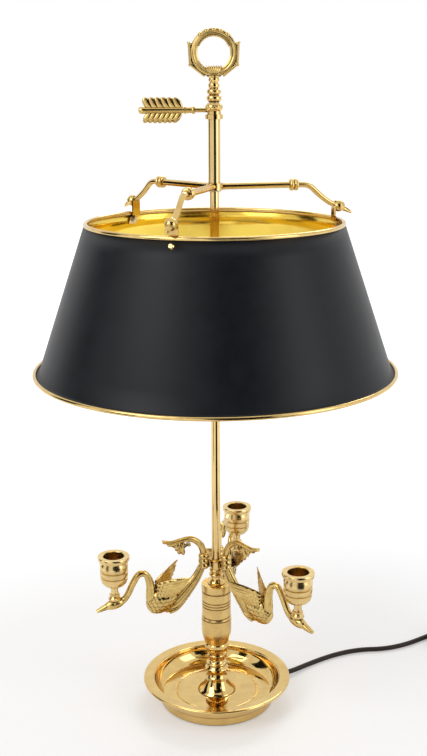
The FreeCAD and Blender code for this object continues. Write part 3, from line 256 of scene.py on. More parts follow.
def grained(name, dark, light, scale, rough, relief, detail=4.0, stretch=(1.0, 1.0, 1.0), **values):
    material, tree, shader = blank_material(name, **values)
    place = add(tree, "ShaderNodeTexCoord").outputs["Object"]
    fitted = add(tree, "ShaderNodeMapping", {"Vector": place, "Scale": stretch})
    grain = add(tree, "ShaderNodeTexNoise", {
        "Vector": fitted.outputs["Vector"], "Scale": scale, "Detail": detail, "Roughness": 0.65})
    ramp = add(tree, "ShaderNodeValToRGB", {"Fac": grain.outputs["Fac"]})
    ramp.color_ramp.elements[0].position = DARK_BELOW
    ramp.color_ramp.elements[0].color = dark
    ramp.color_ramp.elements[1].position = LIGHT_ABOVE
    ramp.color_ramp.elements[1].color = light
    spread = add(tree, "ShaderNodeMapRange", {
        "Value": grain.outputs["Fac"], "To Min": rough - ROUGH_SPREAD, "To Max": rough + ROUGH_SPREAD})
    bump = add(tree, "ShaderNodeBump", {"Distance": relief, "Height": grain.outputs["Fac"]})
    tree.links.new(ramp.outputs["Color"], shader.inputs["Base Color"])
    tree.links.new(spread.outputs["Result"], shader.inputs["Roughness"])
    tree.links.new(bump.outputs["Normal"], shader.inputs["Normal"])
    return material


shade_black = grained("shade_black", colour(0.004, 0.005, 0.007), colour(0.008, 0.009, 0.012),
                      55.0, 0.4, 0.00006, detail=6.0, Specular_IOR_Level=0.22)
cord_brown = grained("cord_brown", colour(0.016, 0.009, 0.006), colour(0.034, 0.021, 0.015),
                     900.0, 0.5, 0.00005, Specular_IOR_Level=0.25)
finishes |= {
    "shade_black": shade_black,
    "felt": grained("green_felt", colour(0.02, 0.05, 0.025), colour(0.06, 0.12, 0.06), 700.0, 0.95, 0.0006),
    "iron": grained("cast_iron", colour(0.05, 0.05, 0.05), colour(0.14, 0.13, 0.12), 220.0, 0.6, 0.0004),
    "steel": grained("plated_steel", colour(0.42, 0.42, 0.4), colour(0.6, 0.6, 0.57), 300.0, 0.35, 0.00005,
                     Metallic=1.0),
    "dark_steel": grained("browned_steel", colour(0.06, 0.045, 0.035), colour(0.16, 0.13, 0.1), 400.0, 0.4,
                          0.00005, Metallic=1.0),
    "nylon": grained("nylon", colour(0.62, 0.6, 0.54), colour(0.74, 0.72, 0.66), 150.0, 0.4, 0.00003),
    "liner_card": grained("liner_card", colour(0.2, 0.14, 0.09), colour(0.34, 0.26, 0.18), 600.0, 0.9,
                          0.0002),
    "phenolic": grained("phenolic", colour(0.02, 0.012, 0.008), colour(0.05, 0.03, 0.02), 250.0, 0.3,
                        0.00004),
    "bulb_glass": grained("opal_glass", colour(0.86, 0.85, 0.81), colour(0.93, 0.92, 0.89), 40.0, 0.3,
                          0.00002, Transmission_Weight=0.25),
    "bulb_metal": grained("bulb_metal", colour(0.66, 0.65, 0.62), colour(0.84, 0.83, 0.8), 260.0, 0.3,
                          0.00004, stretch=(0.2, 0.2, 3.0), Metallic=1.0),
    "knob_plastic": grained("knob_plastic", colour(0.012, 0.01, 0.009), colour(0.035, 0.03, 0.026),
                            320.0, 0.28, 0.00003),
    "cord_brown": cord_brown,
    "plug_brown": grained("plug_brown", colour(0.02, 0.012, 0.009), colour(0.045, 0.028, 0.02),
                          500.0, 0.45, 0.0001),
}
print("finishes:", len(finishes))

# %% [markdown]
# ## Dressing the frame
# Every solid came in with the name of its finish, so one loop gives it the material of that name. The
# solids keep their meshes and places.

# %% Dress the solids
for node in nodes.values():
    slot_name = node.data.materials[0].name.split(".")[0]
    node.data.materials[0] = finishes[slot_name]
nodes["arm_studs"].data.materials[0] = cast_brass
print("dressed", len(nodes), "solids")

# %% [markdown]
# ## Tools for new pieces
# A bmesh is a mesh under construction. Four tools shape nearly everything below: a profile spun on a
# lathe axis, a skin lofted over rings along a path, a flattened leaf for feathers, and a straight
# tapered pin. Each piece is drawn in millimetres and made metres when it is finished.

# %% Modelling tools
def spun(bm, outline, centre=(0, 0, 0), axis=(0, 0, 1), out=(1, 0, 0), steps=64):
    """Turn an outline of (radius, height) pairs about an axis through centre."""
    centre, axis, out = Vector(centre), Vector(axis), Vector(out)
    verts = [bm.verts.new(centre + out * radius + axis * height) for radius, height in outline]
    edges = [bm.edges.new(pair) for pair in zip(verts, verts[1:])]
    bmesh.ops.spin(bm, geom=verts + edges, cent=centre, axis=axis, angle=tau, steps=steps, use_merge=True)


def loft(bm, path, sizes, sides=14):
    """A closed skin over oval rings along a path in the X-Z plane; sizes are (high, wide) pairs."""
    rings = []
    for k, point in enumerate(path):
        along = (path[min(k + 1, len(path) - 1)] - path[max(k - 1, 0)]).normalized()
        high, wide = sizes[k]
        place = Matrix((SIDE.cross(along) * high, SIDE * wide, along)).transposed().to_4x4()
        place.translation = point
        ring = bmesh.ops.create_circle(bm, segments=sides, radius=1, matrix=place)["verts"]
        rings.append(list(dict.fromkeys(edge for vert in ring for edge in vert.link_edges)))
    for near, far in zip(rings, rings[1:]):
        bmesh.ops.bridge_loops(bm, edges=near + far)
    bmesh.ops.contextual_create(bm, geom=rings[0])
    bmesh.ops.contextual_create(bm, geom=rings[-1])


def leaf(bm, root, tip, across, width, thick, sides=12, rings=6):
    """A flattened blade from root to tip, as wide as width along across."""
    along = tip - root
    wide = (across - along * (across.dot(along) / along.length_squared)).normalized()
    thin = along.normalized().cross(wide)
    place = Matrix((along / 2, wide * (width / 2), thin * (thick / 2))).transposed().to_4x4()
    place.translation = (root + tip) / 2
    bmesh.ops.create_uvsphere(bm, u_segments=sides, v_segments=rings, radius=1, matrix=place)


def ball(bm, centre, radius, sides=14, rings=8):
    bmesh.ops.create_uvsphere(bm, u_segments=sides, v_segments=rings, radius=radius,
                              matrix=Matrix.Translation(centre))


def pin(bm, start, end, start_r, end_r, sides=20):
    """A straight round rod from start to end, tapered if its radii differ."""
    along = end - start
    place = Matrix.Translation((start + end) / 2) @ along.to_track_quat("Z", "Y").to_matrix().to_4x4()
    bmesh.ops.create_cone(bm, cap_ends=True, segments=sides, radius1=start_r, radius2=end_r,
                          depth=along.length, matrix=place)


def smoothed(points, per_span=6):
    """A rounded path through a few points, in even steps between each two."""
    last = len(points) - 1
    path = []
    for k in range(last):
        start, end = points[k], points[k + 1]
        leave = start + (end - points[max(k - 1, 0)]) / 6
        arrive = end - (points[min(k + 2, last)] - start) / 6
        path += interpolate_bezier(start, leave, arrive, end, per_span + 1)[:-1]
    return path + [points[-1]]


def finished(name, bm, material, body, replaced=(), crease=40):
    """Close the bmesh as a named piece in metres, outwards and smooth, riding on its body."""
    bmesh.ops.scale(bm, vec=(MM, MM, MM), verts=bm.verts)
    bmesh.ops.recalc_face_normals(bm, faces=bm.faces)
    mesh = bpy.data.meshes.new(name)
    bm.to_mesh(mesh)
    bm.free()
    mesh.shade_smooth()
    mesh.set_sharp_from_angle(angle=radians(crease))
    mesh.materials.append(material)
    piece = bpy.data.objects.new(name, mesh)
    bpy.context.collection.objects.link(piece)
    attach(piece, body)
    if replaced:
        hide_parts(*replaced)
    print(name, len(mesh.polygons), "faces")
    return piece


def flat(pairs):
    """Points in the X-Z plane from (x, z) pairs."""
    return [Vector((x, 0, z)) for x, z in pairs]


def turn_from_x(bm, angle):
    """Turn a piece drawn along +X to an angle counted from the front."""
    turn = Matrix.Rotation(radians(angle - 90), 3, "Z")
    bmesh.ops.rotate(bm, cent=(0, 0, 0), matrix=turn, verts=bm.verts)


print("tools ready")

# %% [markdown]
# ## The swan arms
# All three arms come from one casting: a ringed knuckle, a grooved stalk with a row of beads, a swan
# with lifted wings and a fanned tail plume, and a beak that carries the candle cup. It is drawn once
# along +X and turned to each arm's angle. Ovals lofted along a path suit the neck and stalk, and every
# feather is a leaf, laid in overlapping rows as on the pattern-maker's model.

# %% Knuckle, stalk and plume
ARM_ANGLES = {"left": -72.3, "right": 47.7, "back": 167.7}
KNUCKLE_U = 14.35
KNUCKLE_FOOT_Z = 158.6
KNUCKLE_RINGS = 3
KNUCKLE_RING_H = 5.6
KNUCKLE_RING = ((4.6, 0), (5.5, 0.9), (5.75, 2.6), (5.5, 4.4), (4.6, 5.4))
STALK_LINE = ((15.6, 162), (22.5, 149), (31, 137.5), (40, 127.5), (49, 120), (58, 119))
BEADED_EDGE = ((25.6, 138), (37.3, 122.5), (45.4, 114.6), (52.5, 112))
PLUME_LINE = ((14.2, 175), (16.8, 184), (22.5, 190.6), (30, 194), (40, 193.2), (50, 192), (60, 194.2))
PLUME_EYE_AT = (34.8, 0, 190.0)
FAN_ROOT = Vector((41.5, 0, 192.0))
FAN_TIPS = ((34.6, 183.8), (36.6, 176.4), (41.2, 177.2), (45.4, 182), (49.0, 186.5), (55.2, 189.9))
UNDER_TIPS = ((20.9, 186.9), (25.6, 189.4), (29.8, 185.2))


def add_knuckle(bm):
    outline = [(0, 0)]
    for ring in range(KNUCKLE_RINGS):
        outline += [(radius, ring * KNUCKLE_RING_H + height) for radius, height in KNUCKLE_RING]
    top = KNUCKLE_RINGS * KNUCKLE_RING_H
    outline += [(3.8, top + 0.6), (0, top + 1.2)]
    spun(bm, outline, centre=(KNUCKLE_U, 0, KNUCKLE_FOOT_Z), steps=40)


def add_stalk(bm):
    middle = smoothed(flat(STALK_LINE), 4)
    last = len(middle) - 1
    halves = [3.6 + 3.8 * sin(pi * 0.62 * k / last) for k in range(last + 1)]
    loft(bm, middle, [(half, 3.2) for half in halves], sides=20)
    for strand in (-0.62, 0, 0.62):
        for side in (-2.6, 2.6):
            shift = [Vector((0.75, 0, 0.66)) * (strand * half) + SIDE * side for half in halves]
            loft(bm, [point + away for point, away in zip(middle, shift)], [(1.1, 1.0)] * (last + 1), 8)
    edge = smoothed(flat(BEADED_EDGE), 5)
    for point in edge[3:]:
        for side in (-1.6, 1.6):
            ball(bm, point + SIDE * side, 1.7, 10, 6)


def add_plume(bm):
    spine = smoothed(flat(PLUME_LINE), 4)
    halves = [3.7 - 1.9 * (k / (len(spine) - 1)) ** 2 for k in range(len(spine))]
    loft(bm, spine, [(half, 2.5) for half in halves])
    for shift in (-1.3, 1.3):
        ridge = [point + Vector((0, shift, 0.4)) for point in spine]
        loft(bm, ridge, [(half * 0.62, 1.4) for half in halves], sides=10)
    spun(bm, [(2.2, -2.4), (3.5, -2.7), (4.2, 0), (3.5, 2.7), (2.2, 2.4), (2.2, -2.4)],
         centre=PLUME_EYE_AT, axis=(0, 1, 0), steps=28)
    for k, tip in enumerate(flat(FAN_TIPS)):
        layer = SIDE * ((k % 2) * 1.2 - 0.6)
        leaf(bm, FAN_ROOT + layer, tip + layer, SIDE.cross(tip - FAN_ROOT), 6.4, 3.6, 16, 8)
        leaf(bm, FAN_ROOT, tip, SIDE.cross(tip - FAN_ROOT), 1.1, 5.0, 8, 6)
    for tip in flat(UNDER_TIPS):
        root = tip + Vector((1.5, 0, 5.0))
        leaf(bm, root, tip, Vector((1, 0, 0)), 4.2, 4.0, 10, 6)


print("knuckle, stalk and plume defined")

# %% [markdown]
# The body is one smooth egg, sloped with the swan's swimming line. Breast feathers are small leaves in
# rows round it, each row shifted by half a feather as roof tiles are. The wings fan from the shoulders
# to a tip above and behind, in four layers: long flight feathers, then three rows of coverts.

# %% Body, wings, neck and head
BODY_AT = Vector((61.5, 0, 127.7))
BODY_LONG = 18.5
BODY_HALF_W = 8.6
BODY_DEEP = 13.5
BODY_SLOPE = radians(27)
FEATHER_ROWS = 8
ROW_FEATHERS = 14
SHOULDER_HIGH = Vector((66.0, 4.0, 147.3))
SHOULDER_LOW = Vector((66.5, 5.0, 136.0))
WING_TIP = Vector((36.0, 26.0, 160.1))
LOW_TIP = Vector((49.5, 13.5, 138.5))
WING_LAYERS = ((1.0, 7), (0.62, 6), (0.38, 5), (0.2, 4))
SWAN_NECK_LINE = ((69.5, 124), (73.6, 132.3), (74.3, 147), (78.9, 159.4), (87, 160.2), (94, 150),
                  (99.8, 138.5), (106, 132), (112, 130.7))
SKULL = Vector((112, 0, 130.7))


def on_body(lengthways, round_about, lift=0.0):
    """A point on the egg, and the way out there, from two angles in radians."""
    unit = Vector((cos(lengthways), sin(lengthways) * sin(round_about), sin(lengthways) * cos(round_about)))
    point = Vector((unit.x * BODY_LONG, unit.y * BODY_HALF_W, unit.z * BODY_DEEP))
    outward = Vector((unit.x / BODY_LONG, unit.y / BODY_HALF_W, unit.z / BODY_DEEP)).normalized()
    slope = Matrix.Rotation(BODY_SLOPE, 3, "Y")
    return BODY_AT + slope @ (point + outward * lift), slope @ outward


def add_body(bm):
    place = Matrix.Translation(BODY_AT) @ Matrix.Rotation(BODY_SLOPE, 4, "Y")
    place @= Matrix.Diagonal((BODY_LONG, BODY_HALF_W, BODY_DEEP, 1))
    bmesh.ops.create_uvsphere(bm, u_segments=36, v_segments=24, radius=1, matrix=place)
    for row in range(FEATHER_ROWS):
        lengthways = radians(28 + row * 16)
        for k in range(ROW_FEATHERS):
            around = tau * (k + 0.5 * (row % 2)) / ROW_FEATHERS
            tip, outward = on_body(lengthways + 0.17, around, 0.5)
            root = on_body(lengthways - 0.17, around, -0.1)[0]
            across = (tip - root).cross(outward)
            leaf(bm, root, tip, across, 2.3 + 3.6 * sin(lengthways), 1.3, 8, 5)


def mirrored(vectors, side):
    """Vectors as they are for side 1, and mirrored in the X-Z plane for side -1."""
    return [Vector((vector.x, vector.y * side, vector.z)) for vector in vectors]


def add_wing(bm, side):
    out_of_wing = (WING_TIP - SHOULDER_HIGH).cross(SHOULDER_LOW - SHOULDER_HIGH).normalized()
    web = [SHOULDER_HIGH.lerp(SHOULDER_LOW, 0.45), WING_TIP.lerp(LOW_TIP, 0.3), SHOULDER_LOW - SHOULDER_HIGH]
    leaf(bm, *mirrored(web, side), 14.5, 1.5, 20, 8)
    for layer, (reach, count) in enumerate(WING_LAYERS):
        for k in range(count):
            share = k / (count - 1)
            root = SHOULDER_HIGH.lerp(SHOULDER_LOW, share)
            end = WING_TIP.lerp(LOW_TIP, share) + Vector((0, 0, -2.6 * sin(pi * share)))
            tip = root.lerp(end, reach) - out_of_wing * (layer * 0.55)
            root = root.lerp(end, -0.05) - out_of_wing * (layer * 0.5)
            blade = mirrored((root, tip, (tip - root).cross(out_of_wing)), side)
            leaf(bm, *blade, 6.2 - layer * 0.3, 1.7, 14, 8)
            if layer == 0:
                leaf(bm, *blade, 0.9, 2.7, 8, 5)


def add_neck(bm):
    line = smoothed(flat(SWAN_NECK_LINE), 7)
    sizes = []
    for k in range(len(line)):
        root_swell = 3.6 * max(0.0, 1 - k / 20)
        feathered = 0.2 * (k % 2)
        sizes.append((3.5 + root_swell + feathered, 3.3 + root_swell * 0.7 + feathered))
    loft(bm, line, sizes, sides=16)


def add_head(bm):
    leaf(bm, SKULL + Vector((-9.5, 0, 1.8)), SKULL + Vector((13.5, 0, -2.6)), SIDE, 11.0, 11.2, 24, 14)
    bill = smoothed([SKULL + Vector((5.5, 0, -0.6)), SKULL + Vector((14, 0, -3.6)),
                     SKULL + Vector((21.5, 0, -6.4))], 5)
    loft(bm, bill, [(4.3 - 0.27 * k, 4.4 - 0.2 * k) for k in range(len(bill))])
    leaf(bm, bill[0] + Vector((0, 0, -1.2)), bill[-1] + Vector((-1, 0, -0.7)), SIDE, 7.6, 0.9)
    for side in (-1, 1):
        eye = SKULL + Vector((2.6, side * 4.5, 1.6))
        ball(bm, eye, 1.35, 10, 8)
        leaf(bm, eye + Vector((-2.6, -side * 0.4, 0.9)), eye + Vector((2.4, -side * 0.6, 1.5)), UP, 1.3, 2.2)
    pin(bm, Vector((113.5, 0, 128)), Vector((113.5, 0, 134.5)), 4.8, 4.4, 28)


arm = bmesh.new()
for add_part in (add_knuckle, add_stalk, add_plume, add_body, add_neck, add_head):
    add_part(arm)
for wing_side in (-1, 1):
    add_wing(arm, wing_side)
for place_name, angle in ARM_ANGLES.items():
    turned_arm = arm.copy()
    turn_from_x(turned_arm, angle)
    finished(f"swan_{place_name}", turned_arm, cast_brass, "lamp", [f"swan_arm_{place_name}"], crease=60)
arm.free()

# %% [markdown]
# ## Cups, barrel, bell and finial neck
# A candle cup is turned from one bar: a foot with a knop, a bowl, two bands between three sharp grooves,
# a lip, and the bore for the candle. The neck of the finial is a stack of three round beads, the barrel
# carries six sharp grooves, and the bell flares down to the dish, which mirrors it. An outline spun
# round each axis gives them all, with rounder forms than the plain solids have.

# %% Lathe work
CUP_REACH = 113.5
CUP_FOOT_Z = 134.5
CUP_OUTLINE = (
    (0, 0), (5.2, 0), (6.8, 1.6), (6.8, 3.2), (5.2, 4.8), (4.4, 5.8), (5.6, 6.6), (5.6, 7.8), (4.3, 8.8),
    (3.9, 12), (4.3, 15.4), (6.4, 16.8), (10.6, 18.6), (13.2, 21.5), (14.4, 25.2), (14.6, 27.6),
    (13.3, 28.3), (13.3, 29.6), (14.8, 30.4), (15.0, 34.0), (13.4, 34.8), (13.4, 36.1), (14.8, 36.9),
    (15.0, 42.4), (13.8, 44.0), (13.8, 45.3), (16.5, 46.8), (17.0, 48.4), (17.0, 50.4), (16.5, 51.2),
    (11.7, 51.2), (11.1, 50.6), (11.1, 27.2), (0, 27.2),
)
NECK_FOOT_Z = 650.2
NECK_TOP = 22.4
NECK_WAIST_R = 4.4
NECK_BEADS = ((3.4, 7.45, 3.2), (9.8, 7.0, 2.8), (15.6, 5.6, 2.4))

for place_name, angle in ARM_ANGLES.items():
    cup = bmesh.new()
    out_way = Vector((sin(radians(angle)), -cos(radians(angle)), 0))
    spun(cup, CUP_OUTLINE, centre=out_way * CUP_REACH + UP * CUP_FOOT_Z, out=out_way, steps=72)
    finished(f"cup_{place_name}", cup, cup_brass, "lamp", [f"candle_cup_{place_name}"])

BARREL_FOOT_Z = 68.9
BARREL_TOP_Z = 139.0
BARREL_FOOT_R = 12.8
BELLY_R = 16.4
SWELL_H = 16.0
BELLY_TOP_Z = 97.0
MIDDLE_R = 15.9
MIDDLE_TOP_Z = 131.0
BARREL_GROOVES = (130.0, 119.6, 116.4, 113.2, 101.4, 98.2)
GROOVE_HALF_W = 0.75
GROOVE_DEEP = 0.9
BELL_FOOT_Z = 10.5
BELL_OUTLINE = (
    (0, 0), (20.7, 0), (20.9, 0.6), (20.4, 1.4), (18.2, 3.1), (15.6, 5.9), (13.4, 9.1), (12.0, 12.1),
    (11.6, 12.9), (12.4, 13.6), (11.5, 14.3), (12.3, 15.0), (11.4, 15.7), (12.1, 16.4), (11.2, 17.1),
    (9.9, 20.0), (9.3, 23.0), (9.7, 25.1), (12.2, 26.2), (12.9, 27.4), (12.2, 28.6), (10.4, 29.6),
    (10.0, 30.5), (0, 30.5),
)


def barrel_r(z):
    """The barrel's radius at a height: a curved foot, a belly, a slimmer middle and a lip."""
    if z > MIDDLE_TOP_Z:
        return BELLY_R
    if z > BELLY_TOP_Z:
        return MIDDLE_R
    swell = min((z - BARREL_FOOT_Z) / SWELL_H, 1)
    return BARREL_FOOT_R + (BELLY_R - BARREL_FOOT_R) * sin(pi / 2 * swell)


barrel_outline = [(0, BARREL_FOOT_Z)]
barrel_outline += [(barrel_r(BARREL_FOOT_Z + 2 * k), BARREL_FOOT_Z + 2 * k) for k in range(9)]
for groove_z in reversed(BARREL_GROOVES):
    body_r = barrel_r(groove_z - 3)
    for dz, sunk in ((-GROOVE_HALF_W, 0), (-0.6 * GROOVE_HALF_W, GROOVE_DEEP),
                     (0.6 * GROOVE_HALF_W, GROOVE_DEEP), (GROOVE_HALF_W, 0)):
        barrel_outline.append((body_r - sunk, groove_z + dz))
barrel_outline += [(BELLY_R, 131.4), (BELLY_R, 138.4), (15.8, BARREL_TOP_Z), (0, BARREL_TOP_Z)]
barrel = bmesh.new()
spun(barrel, barrel_outline, steps=96)
finished("turned_barrel", barrel, finishes["satin_brass"], "lamp", ["barrel"], crease=25)
bell = bmesh.new()
spun(bell, BELL_OUTLINE, centre=(0, 0, BELL_FOOT_Z), steps=80)
finished("foot_bell", bell, finishes["aged_brass"], "lamp", ["base_bell"], crease=50)

neck_outline = [(0, 0), (6.2, 0)]
for middle_z, bead_r, half_h in NECK_BEADS:
    for k in range(9):
        turn = pi * k / 8
        bead_reach = NECK_WAIST_R + (bead_r - NECK_WAIST_R) * sin(turn) ** 0.7
        neck_outline.append((bead_reach, middle_z - half_h * cos(turn)))
neck_outline += [(NECK_WAIST_R, 19.0), (5.6, 20.6), (5.2, NECK_TOP), (0, NECK_TOP)]
finial_neck = bmesh.new()
spun(finial_neck, neck_outline, centre=(0, 0, NECK_FOOT_Z), steps=56)
finished("beaded_neck", finial_neck, finishes["aged_brass"], "lamp", ["finial_neck"], crease=50)

# %% [markdown]
# ## The shade
# The shade is one rolled sheet, black outside and gold lacquer inside. One line spun round the axis is
# enough, and a Solidify modifier gives the sheet its thickness and puts the second material inside.

# %% Shade sheet
SHEET_MM = 0.6
SHADE_TOP = (131.0, 532.05)
SHADE_FOOT = (181.5, 383.05)
SHADE_CURL = (183.0, 381.4)
SHADE_LIP = (186.3, 380.7)
SLOPE_STEPS = 8

sheet = bmesh.new()
straight = [(SHADE_TOP[0] + (SHADE_FOOT[0] - SHADE_TOP[0]) * k / SLOPE_STEPS,
             SHADE_TOP[1] + (SHADE_FOOT[1] - SHADE_TOP[1]) * k / SLOPE_STEPS)
            for k in range(SLOPE_STEPS + 1)]
spun(sheet, straight + [SHADE_CURL, SHADE_LIP], steps=192)
shade = finished("shade_sheet", sheet, shade_black, "shade_carrier", ["shade_shell"])
shade.data.materials.append(gold_lacquer)
thicken = shade.modifiers.new("sheet", "SOLIDIFY")
thicken.thickness = SHEET_MM * MM
thicken.offset = -1.0
thicken.material_offset = 1
thicken.material_offset_rim = 1

# %% [markdown]
# ## The finger ring
# The lamp is lifted by the ring at its top. Its band is reeded, so the spun section is a circle with
# lobes; five fat gadroons sit on top, two rows of fine beads run inside, and four leaf tips point out.

# %% Finger ring
RING_AT = Vector((0, 0, 696.9))
RING_R = 19.35
BAND_R = 3.45
BAND_LOBES = 9
RING_FOOT_Z = 672.6
GADROONS = 5
GADROON_TURN = 19
BEADS_ASIDE = 8
BEAD_TURN = 8


def ring_way(angle):
    """The way out from the ring's centre at an angle from straight up, in the X-Z plane."""
    return Vector((sin(radians(angle)), 0, cos(radians(angle))))


def add_band(bm):
    section = []
    for k in range(55):
        turn = tau * k / 54
        reach = BAND_R * (0.95 + 0.09 * cos(BAND_LOBES * turn))
        section.append((RING_R + reach * cos(turn), reach * sin(turn)))
    spun(bm, section, centre=RING_AT, axis=(0, 1, 0), steps=96)


def add_ring_leaves(bm):
    """On each side, a strap between two pointed tips, and a second strap down to the foot."""
    for side in (-1, 1):
        upper, lower, foot = [RING_AT + ring_way(side * angle) * reach
                              for angle, reach in ((70, 25.4), (116, 25.4), (158, 23.6))]
        for start, end in ((upper, lower), (lower, foot)):
            pin(bm, start, end, 1.5, 1.5, 12)
            for y in (-1.7, 1.7):
                pin(bm, start + SIDE * y, end + SIDE * y, 1.1, 1.1, 10)
        for tip, way in ((upper, ring_way(side * 52)), (lower, ring_way(side * 128))):
            leaf(bm, tip - way * 3.5, tip + way * 2.4, way.cross(SIDE), 3.4, 4.6, 12, 8)


def add_ring_foot(bm):
    top_z = RING_AT.z - 13.3
    pin(bm, Vector((0, 0, RING_FOOT_Z)), Vector((0, 0, RING_FOOT_Z + 2.6)), 4.6, 5.6, 28)
    bmesh.ops.create_cube(bm, size=1, matrix=Matrix.Translation((0, 0, (RING_FOOT_Z + top_z) / 2 + 0.8))
                          @ Matrix.Diagonal((13.5, 4.4, top_z - RING_FOOT_Z - 1.6, 1)))
    for k in range(-3, 4):
        for side in (-1, 1):
            low = Vector((k * 1.25, side * 2.0, RING_FOOT_Z + 0.4 + abs(k) * 0.3))
            leaf(bm, low, Vector((k * 2.45, side * 1.9, top_z + 1.4)), Vector((1, 0, 0)), 2.6, 2.8)


ring = bmesh.new()
add_band(ring)
for k in range(GADROONS):
    lobe_way = ring_way((k - GADROONS // 2) * GADROON_TURN)
    leaf(ring, RING_AT + lobe_way * (RING_R - 0.5), RING_AT + lobe_way * (RING_R + 4.3),
         SIDE, 8.2, 5.9, 18, 12)
for k in range(-BEADS_ASIDE, BEADS_ASIDE + 1):
    bead_way = ring_way(k * BEAD_TURN)
    for row_y in (-1.35, 1.35):
        ball(ring, RING_AT + bead_way * (RING_R - BAND_R + 0.1) + SIDE * row_y, 1.15, 10, 6)
add_ring_leaves(ring)
add_ring_foot(ring)
finished("finger_ring", ring, cast_brass, "lamp", ["finial_ring"], crease=50)

# %% [markdown]
# ## The arrow key
# The key that clamps the shade is an arrow shot at the stem. Its shaft is turned, and the flight has
# six broad barbs above and seven narrow ones below, all swept back towards the nock.

# %% Arrow key
KEY_Z = 642.5
FLIGHT_FRONT = -30.6
FLIGHT_BACK = -71.0
FLIGHT_H = 12.3
WEB_HALF_T = 0.8
BARB_SETS = ((1, 6, 8.2), (-1, 7, 6.6))
SHAFT_OUTLINE = (
    (0, -5.8), (2.2, -6.2), (2.2, -18.5), (3.5, -18.9), (3.7, -20.2), (3.5, -21.5), (2.9, -22),
    (2.9, -27), (3.6, -27.5), (3.6, -29), (2.9, -29.5), (2.9, -66), (3.3, -68), (3.6, -70.5),
    (3.3, -73), (2.2, -74.2), (0, -74.5),
)


def add_barbs(bm, count, up_or_down, width):
    for k in range(count):
        share = k / (count - 1)
        root_x = FLIGHT_FRONT - 1.5 + (FLIGHT_BACK - FLIGHT_FRONT + 11.0) * share
        root = Vector((root_x, 0, up_or_down * 0.8))
        tip = Vector((root_x - 8.0, 0, up_or_down * (FLIGHT_H - 0.3 * abs(2 * share - 1))))
        leaf(bm, root, tip, Vector((1, 0, 0)), width, 2.8, 14, 8)
        leaf(bm, root, tip, Vector((1, 0, 0)), width * 0.24, 3.9, 8, 6)


key = bmesh.new()
spun(key, SHAFT_OUTLINE, centre=(0, 0, KEY_Z), axis=(1, 0, 0), out=(0, 0, 1), steps=36)
flight = bmesh.new()
for way_up, barbs, barb_width in BARB_SETS:
    add_barbs(flight, barbs, way_up, barb_width)
    corners = [(FLIGHT_FRONT - 2, 0.5), (FLIGHT_FRONT - 8, FLIGHT_H * 0.9),
               (FLIGHT_BACK + 3, FLIGHT_H * 0.9), (FLIGHT_BACK + 6, 0.5)]
    web = flight.faces.new([flight.verts.new((x, -WEB_HALF_T, way_up * z)) for x, z in corners])
    skin = bmesh.ops.extrude_face_region(flight, geom=[web])["geom"]
    skin_verts = [part for part in skin if isinstance(part, bmesh.types.BMVert)]
    bmesh.ops.translate(flight, vec=(0, 2 * WEB_HALF_T, 0), verts=skin_verts)
bmesh.ops.translate(flight, vec=(0, 0, KEY_Z), verts=flight.verts)
scratch = bpy.data.meshes.new("flight_scratch")
flight.to_mesh(scratch)
flight.free()
key.from_mesh(scratch)
bpy.data.meshes.remove(scratch)
finished("key_arrow", key, cast_brass, "key", ["arrow_key"], crease=45)

# %% [markdown]
# ## Small cast details
# A rope-twist bead runs round the clamp collar, and each hook ends in a bird's head with a crest and
# eyes. They are cast with the pieces under them, so they sit a little into those solids.

# %% Rope bead and hook heads
ROPE_TWISTS = 18
ROPE_Z = 645.2
ROPE_R = 7.3
HOOK_ANGLES = {"front": -17.0, "right": 103.0, "rear": -137.0}
HOOK_HEAD = Vector((131.6, 0, 545.05))

rope = bmesh.new()
for k in range(ROPE_TWISTS):
    turn = tau * k / ROPE_TWISTS
    out_way = Vector((cos(turn), sin(turn), 0))
    slant = UP * 2.3 + out_way.cross(UP) * 1.3
    middle = out_way * ROPE_R + UP * ROPE_Z
    leaf(rope, middle - slant, middle + slant, out_way.cross(slant), 2.5, 2.9, 10, 8)
finished("collar_rope", rope, cast_brass, body_of(nodes["clamp_collar"])[0])

for place_name, angle in HOOK_ANGLES.items():
    bird = bmesh.new()
    leaf(bird, HOOK_HEAD + Vector((-6.8, 0, 0.8)), HOOK_HEAD + Vector((6.2, 0, -0.6)), SIDE,
         12.0, 12.0, 24, 16)
    for side in (-1, 1):
        ball(bird, HOOK_HEAD + Vector((1.8, side * 4.9, 1.4)), 1.3, 12, 8)
        for k in range(2):
            root = HOOK_HEAD + Vector((1.5 - 2.6 * k, side * (3.9 - 0.5 * k), 3.0))
            leaf(bird, root, root + Vector((-4.6, -side * 0.5, 0.9 - k * 0.9)), UP, 2.6, 1.8)
    for k in range(4):
        root = HOOK_HEAD + Vector((2.5 - 3.0 * k, 0, 5.0 - 0.2 * k * k))
        leaf(bird, root, root + Vector((-4.8, 0, 0.7)), SIDE, 3.4, 1.8)
    leaf(bird, HOOK_HEAD + Vector((3, 0, 0.6)), HOOK_HEAD + Vector((13.2, 0, -5.9)), SIDE, 5.6, 2.2)
    turn_from_x(bird, angle)
    finished(f"hook_head_{place_name}", bird, cast_brass, "shade_carrier")

# %% [markdown]
# ## The cord
# The cord leaves the foot low down, runs over the table and ends in a neat two-layer coil beside the
# lamp. A NURBS curve with a round bevel follows the same points as the solid: a short list for the run,
# and a loop for the coil's turns, close enough that the curve cuts no corner.

